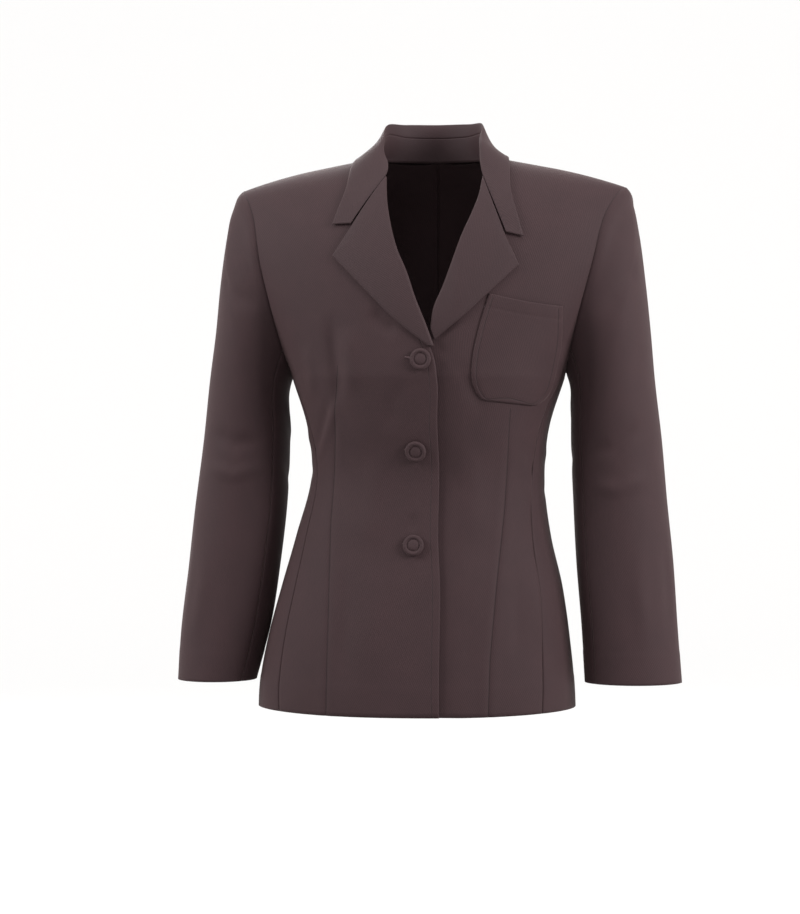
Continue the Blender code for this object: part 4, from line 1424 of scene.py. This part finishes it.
@dataclass(frozen=True)
class Buttonhole:
    """A worked buttonhole: a narrow lens of thread that reaches out from under its button."""

    number: int
    place: Point2
    length: float = 22 * MM
    width: float = 2.2 * MM
    start: float = 5 * MM
    slope: float = 0.19
    height: float = 0.5 * MM
    clear: float = 0.10 * MM
    stitch: float = 0.12 * MM
    stitch_pitch: float = 0.9 * MM
    thickness: float = 0.3 * MM
    rows: int = 60
    columns: int = 10

    def build(self, base: bpy.types.Object, finish: bpy.types.Material) -> bpy.types.Object:
        """Lays the thread on the front as a low ridge, its width a root of a half sine along it."""
        along = np.linspace(0.0, 1.0, self.rows + 1)[:, None]
        over = np.linspace(-0.5, 0.5, self.columns + 1)[None, :]
        half = self.width * (np.sin(np.pi * (0.04 + 0.92 * along)) ** 0.5)
        x = self.place[0] + self.start - self.length * along + 0 * over
        z = self.place[1] + self.slope * self.length * (along - 0.4) + half * over
        stitch = self.stitch * np.sin(along * self.length / self.stitch_pitch * 2 * math.pi)
        lift = self.clear + (self.height + stitch) * np.cos(np.pi * over)
        grid = seat(base, x, z, lift)
        name = f"buttonhole_{self.number}"
        marks = {"seam_mm": np.full(grid.shape[:2], FAR_MM)}
        obj = shown(mesh_of(name, grid[:, ::-1], marks), finish)
        thread = obj.modifiers.new("Thread", "SOLIDIFY")
        thread.thickness = self.thickness
        thread.offset = -1.0
        return obj


@dataclass(frozen=True)
class Lamp:
    """A square soft lamp that looks at the coat's middle: its place and size in metres, its watts."""

    name: str
    place: Point3
    size: float
    power: float

    def build(self, target: Point3) -> None:
        """Adds the lamp, turned to its target."""
        light = bpy.data.lights.new(self.name, "AREA")
        light.shape = "SQUARE"
        light.size = self.size
        light.energy = self.power
        obj = bpy.data.objects.new(self.name, light)
        bpy.context.scene.collection.objects.link(obj)
        obj.location = self.place
        towards = Vector(target) - Vector(self.place)
        obj.rotation_euler = towards.to_track_quat("-Z", "Y").to_euler()


@dataclass(frozen=True)
class Studio:
    """A white tent with a pale floor, soft lamps, and the camera."""

    floor_z: float = -1.02
    radius: float = 6.0
    fillet: float = 1.4
    height: float = 4.5
    dome_rise: float = 2.0
    steps: int = 96
    paper: str = "8c8b8a"
    paper_roughness: float = 0.9
    paper_glow: float = 0.65
    world_strength: float = 0.6
    lamp_target: Point3 = (0.0, 0.0, -0.3)
    lamps: tuple[Lamp, ...] = (
        Lamp("key_lamp", (2.2, -0.95, 0.6), 1.0, 125.0),
        Lamp("fill_lamp", (-2.0, -0.85, 0.8), 1.0, 90.0),
        Lamp("top_lamp", (0.1, -0.7, 2.2), 1.6, 40.0),
        Lamp("back_lamp", (-0.8, 2.4, 1.7), 1.4, 70.0),
    )
    camera_away: float = 2.8
    camera_turn: float = math.radians(5.5)
    camera_z: float = -0.3326
    camera_shift: float = -34 / 914
    view_height: float = 1.0237
    sensor_mm: float = 36.0

    def tent(self) -> None:
        """Turns the tent's profile: a floor, a quarter circle and a wall, closing to a dome."""
        turn = np.linspace(0.0, 2 * math.pi, self.steps + 1)[:-1]
        quarter = np.linspace(0.0, math.pi / 2, 17)
        flat = self.radius - self.fillet
        bend_r = flat + self.fillet * np.sin(quarter)
        bend_z = self.floor_z + self.fillet * (1 - np.cos(quarter))
        dome_r = self.radius * np.cos(quarter)
        dome_z = self.height + self.dome_rise * np.sin(quarter)
        r = np.concatenate([[0.001, flat * 0.5], bend_r, dome_r[:-1], [0.001]])
        z = np.concatenate([[self.floor_z, self.floor_z], bend_z, dome_z[:-1], [dome_z[-1]]])
        ring = r[:, None]
        grid = np.stack([ring * np.cos(turn), ring * np.sin(turn), z[:, None] + 0 * turn], -1)
        mesh = mesh_of("studio_tent", grid[:, ::-1], {}, wrap=True)
        made = bpy.data.materials.new("white_paper")
        made.use_nodes = True
        shader = made.node_tree.nodes["Principled BSDF"]
        shader.inputs["Base Color"].default_value = linear(self.paper)
        shader.inputs["Roughness"].default_value = self.paper_roughness
        shader.inputs["Emission Color"].default_value = linear("ffffff")
        shader.inputs["Emission Strength"].default_value = self.paper_glow
        mesh.materials.append(made)
        obj = bpy.data.objects.new("studio_tent", mesh)
        bpy.context.scene.collection.objects.link(obj)

    def camera(self) -> None:
        """Adds the camera: level, a little to the coat's left of straight ahead."""
        data = bpy.data.cameras.new("camera")
        data.sensor_fit = "AUTO"
        data.sensor_width = self.sensor_mm
        data.lens = self.sensor_mm * self.camera_away / self.view_height
        data.shift_x = self.camera_shift
        obj = bpy.data.objects.new("camera", data)
        bpy.context.scene.collection.objects.link(obj)
        turn = self.camera_turn
        away = self.camera_away
        obj.location = (away * math.sin(turn), -away * math.cos(turn), self.camera_z)
        obj.rotation_euler = (math.pi / 2, 0.0, turn)
        bpy.context.scene.camera = obj

    def build(self) -> None:
        """Makes the tent, the lamps, the world and the camera."""
        self.tent()
        for lamp in self.lamps:
            lamp.build(self.lamp_target)
        world = bpy.data.worlds.new("studio")
        world.use_nodes = True
        ground = world.node_tree.nodes["Background"]
        ground.inputs["Color"].default_value = linear("ffffff")
        ground.inputs["Strength"].default_value = self.world_strength
        bpy.context.scene.world = world
        bpy.context.scene.view_settings.view_transform = "Standard"
        self.camera()


# --- Creases ----------------------------------------------------------------------------------------

RIGHT_FRONT_CREASES = (
    Crease(((-0.1034, -0.170), (-0.1010, -0.205), (-0.0957, -0.250), (-0.0975, -0.290)), 7.9 * MM, -3.3 * MM),
    Crease(((-0.082, -0.185), (-0.080, -0.225), (-0.079, -0.270)), 10.6 * MM, 2.1 * MM),
    Crease(((-0.095, -0.262), (-0.108, -0.300), (-0.124, -0.340)), 5.3 * MM, 1.95 * MM),
    Crease(((-0.103, -0.262), (-0.117, -0.300), (-0.130, -0.335)), 5.3 * MM, -1.65 * MM),
    Crease(((-0.061, -0.172), (-0.045, -0.188), (-0.026, -0.201)), 7.9 * MM, -2.4 * MM),
    Crease(((-0.020, -0.245), (-0.034, -0.275), (-0.040, -0.310)), 8.8 * MM, -1.5 * MM),
    Crease(((-0.0135, -0.392), (-0.0135, -0.404), (-0.014, -0.416)), 5.3 * MM, -1.35 * MM),
    Crease(((-0.050, -0.320), (-0.058, -0.380), (-0.060, -0.440)), 14.1 * MM, 1.95 * MM),
    Crease(((-0.135, -0.205), (-0.128, -0.235), (-0.126, -0.275)), 7 * MM, 1.8 * MM),
    Crease(((-0.050, -0.450), (-0.058, -0.530), (-0.060, -0.600)), 15.8 * MM, 1.8 * MM, 0.5),
    Crease(((-0.086, -0.430), (-0.088, -0.520), (-0.090, -0.600)), 10.6 * MM, -1.8 * MM, 0.5),
)
LEFT_FRONT_CREASES = (
    Crease(((0.150, -0.205), (0.140, -0.235), (0.134, -0.275)), 7 * MM, 2.1 * MM),
    Crease(((0.112, -0.335), (0.1190, -0.360), (0.124, -0.385)), 4.4 * MM, -2.1 * MM),
    Crease(((0.104, -0.325), (0.109, -0.360), (0.113, -0.395)), 6.2 * MM, 1.65 * MM),
    Crease(((0.119, -0.430), (0.120, -0.490), (0.124, -0.560)), 7.9 * MM, 1.95 * MM, 0.5),
    Crease(((0.100, -0.430), (0.099, -0.500), (0.100, -0.580)), 8.8 * MM, -1.8 * MM, 0.5),
    Crease(((0.040, -0.300), (0.050, -0.360), (0.048, -0.430)), 13.2 * MM, 1.8 * MM),
    Crease(((0.030, -0.225), (0.046, -0.250), (0.066, -0.290)), 7.9 * MM, -1.5 * MM),
    Crease(((0.046, -0.460), (0.044, -0.540), (0.040, -0.605)), 12.3 * MM, -1.5 * MM, 0.5),
)
RIGHT_SIDE_CREASES = (
    Crease(((-0.050, -0.300), (0.000, -0.318), (0.045, -0.312)), 7 * MM, 0.95 * MM),
    Crease(((-0.045, -0.345), (0.005, -0.352), (0.050, -0.338)), 6.2 * MM, -0.88 * MM),
    Crease(((0.010, -0.430), (0.012, -0.500), (0.010, -0.590)), 12.3 * MM, 0.95 * MM, 0.5),
)
LEFT_SIDE_CREASES = (
    Crease(((-0.045, -0.322), (0.004, -0.330), (0.050, -0.318)), 7 * MM, 0.88 * MM),
    Crease(((-0.048, -0.365), (0.002, -0.372), (0.040, -0.362)), 6.2 * MM, -0.74 * MM),
    Crease(((-0.012, -0.440), (-0.010, -0.520), (-0.014, -0.600)), 11.4 * MM, 0.88 * MM, 0.5),
)
BACK_CREASES = (
    Crease(((-0.150, -0.180), (-0.112, -0.205), (-0.070, -0.212)), 8.8 * MM, -2.1 * MM),
    Crease(((0.152, -0.170), (0.118, -0.200), (0.066, -0.214)), 8.8 * MM, -2.25 * MM),
    Crease(((-0.120, -0.330), (-0.070, -0.344), (-0.018, -0.340)), 7.9 * MM, 2.4 * MM),
    Crease(((-0.116, -0.362), (-0.066, -0.372), (-0.022, -0.366)), 7 * MM, -2.1 * MM),
    Crease(((0.116, -0.338), (0.062, -0.352), (0.014, -0.346)), 7.9 * MM, 2.25 * MM),
    Crease(((0.112, -0.372), (0.060, -0.380), (0.020, -0.374)), 7 * MM, -1.95 * MM),
    Crease(((-0.098, -0.430), (-0.106, -0.510), (-0.112, -0.600)), 13.2 * MM, 2.4 * MM, 0.5),
    Crease(((-0.052, -0.440), (-0.056, -0.520), (-0.058, -0.600)), 13.2 * MM, -2.25 * MM, 0.5),
    Crease(((0.070, -0.430), (0.078, -0.510), (0.086, -0.600)), 13.2 * MM, 2.4 * MM, 0.5),
    Crease(((0.026, -0.440), (0.028, -0.520), (0.030, -0.600)), 12.3 * MM, -1.95 * MM, 0.5),
    Crease(((-0.165, -0.095), (-0.158, -0.140), (-0.150, -0.190)), 7.9 * MM, 2.4 * MM),
    Crease(((0.168, -0.090), (0.160, -0.140), (0.150, -0.185)), 7.9 * MM, 2.4 * MM),
)
RIGHT_SLEEVE_CREASES = (
    Crease(((0.030, -0.120), (0.060, -0.150), (0.100, -0.172)), 8.8 * MM, -2.4 * MM),
    Crease(((0.040, -0.300), (0.085, -0.318), (0.130, -0.312)), 8.8 * MM, -2.55 * MM),
    Crease(((0.035, -0.340), (0.085, -0.352), (0.135, -0.340)), 7.9 * MM, 2.25 * MM),
    Crease(((0.050, -0.400), (0.062, -0.470), (0.058, -0.560)), 11.4 * MM, 2.25 * MM, 0.5),
    Crease(((0.020, -0.380), (0.016, -0.460), (0.020, -0.550)), 12.3 * MM, -1.95 * MM, 0.5),
    Crease(((-0.090, -0.310), (-0.050, -0.330), (-0.010, -0.322)), 9.7 * MM, 2.4 * MM),
    Crease(((-0.100, -0.270), (-0.060, -0.285), (-0.020, -0.280)), 8.8 * MM, -2.25 * MM),
    Crease(((0.160, -0.260), (0.185, -0.300), (0.215, -0.315)), 7.9 * MM, 1.08 * MM),
    Crease(((0.150, -0.330), (0.180, -0.355), (0.220, -0.360)), 7.9 * MM, -1.01 * MM),
)
LEFT_SLEEVE_CREASES = (
    Crease(((0.030, -0.110), (0.065, -0.150), (0.098, -0.182)), 8.8 * MM, -2.25 * MM),
    Crease(((0.045, -0.290), (0.090, -0.322), (0.132, -0.330)), 8.8 * MM, -2.7 * MM),
    Crease(((0.040, -0.350), (0.088, -0.368), (0.132, -0.362)), 7.9 * MM, 2.25 * MM),
    Crease(((0.066, -0.410), (0.072, -0.480), (0.070, -0.560)), 10.6 * MM, 2.1 * MM, 0.5),
    Crease(((0.034, -0.390), (0.030, -0.470), (0.034, -0.555)), 11.4 * MM, -2.1 * MM, 0.5),
    Crease(((-0.092, -0.330), (-0.052, -0.345), (-0.012, -0.336)), 9.7 * MM, 2.25 * MM),
    Crease(((-0.096, -0.290), (-0.056, -0.300), (-0.014, -0.298)), 8.8 * MM, -2.1 * MM),
    Crease(((0.160, -0.250), (0.190, -0.292), (0.218, -0.304)), 7.9 * MM, 1.01 * MM),
    Crease(((0.152, -0.322), (0.184, -0.342), (0.216, -0.350)), 7.9 * MM, -1.01 * MM),
)


def main() -> None:
    """Builds the coat's pieces in order, then the studio."""
    logging.basicConfig(level=logging.INFO, format="%(message)s")
    coat = COAT_CLOTH.material()
    pressed = LAPEL_CLOTH.material()
    covered = BUTTON_CLOTH.material()
    thread = BUTTONHOLE_THREAD.material()
    right = FrontPanel(Side.RIGHT, RIGHT_EDGE, RIGHT_ROLL, RIGHT_DART, RIGHT_FRONT_CREASES).build(coat)
    left = FrontPanel(
        Side.LEFT, LEFT_EDGE, LEFT_ROLL, LEFT_DART, LEFT_FRONT_CREASES, fold_inset=4.7 * MM, columns=116
    ).build(coat)
    for side, creases in ((Side.RIGHT, RIGHT_SIDE_CREASES), (Side.LEFT, LEFT_SIDE_CREASES)):
        SidePanel(side, creases).build(coat)
        BackPanel(side, BACK_CREASES).build(coat)
    Sleeve(Side.RIGHT, RIGHT_SLEEVE, RIGHT_SLEEVE_CREASES).build(coat)
    Sleeve(Side.LEFT, LEFT_SLEEVE, LEFT_SLEEVE_CREASES).build(coat)
    Lapel(Side.RIGHT, RIGHT_ROLL, RIGHT_LAPEL_EDGE, RIGHT_NOTCH).build(pressed)
    Lapel(Side.LEFT, LEFT_ROLL, LEFT_LAPEL_EDGE, LEFT_NOTCH).build(pressed)
    Collar().build(pressed)
    Pocket().build(left, coat)
    for number, (place, length) in enumerate(zip(BUTTON_PLACES, BUTTONHOLE_LENGTHS, strict=True), 1):
        CoveredButton(number, place).build(right, covered)
        Buttonhole(number, place, length).build(right, thread)
    Studio().build()


if __name__ == "__main__":
    main()
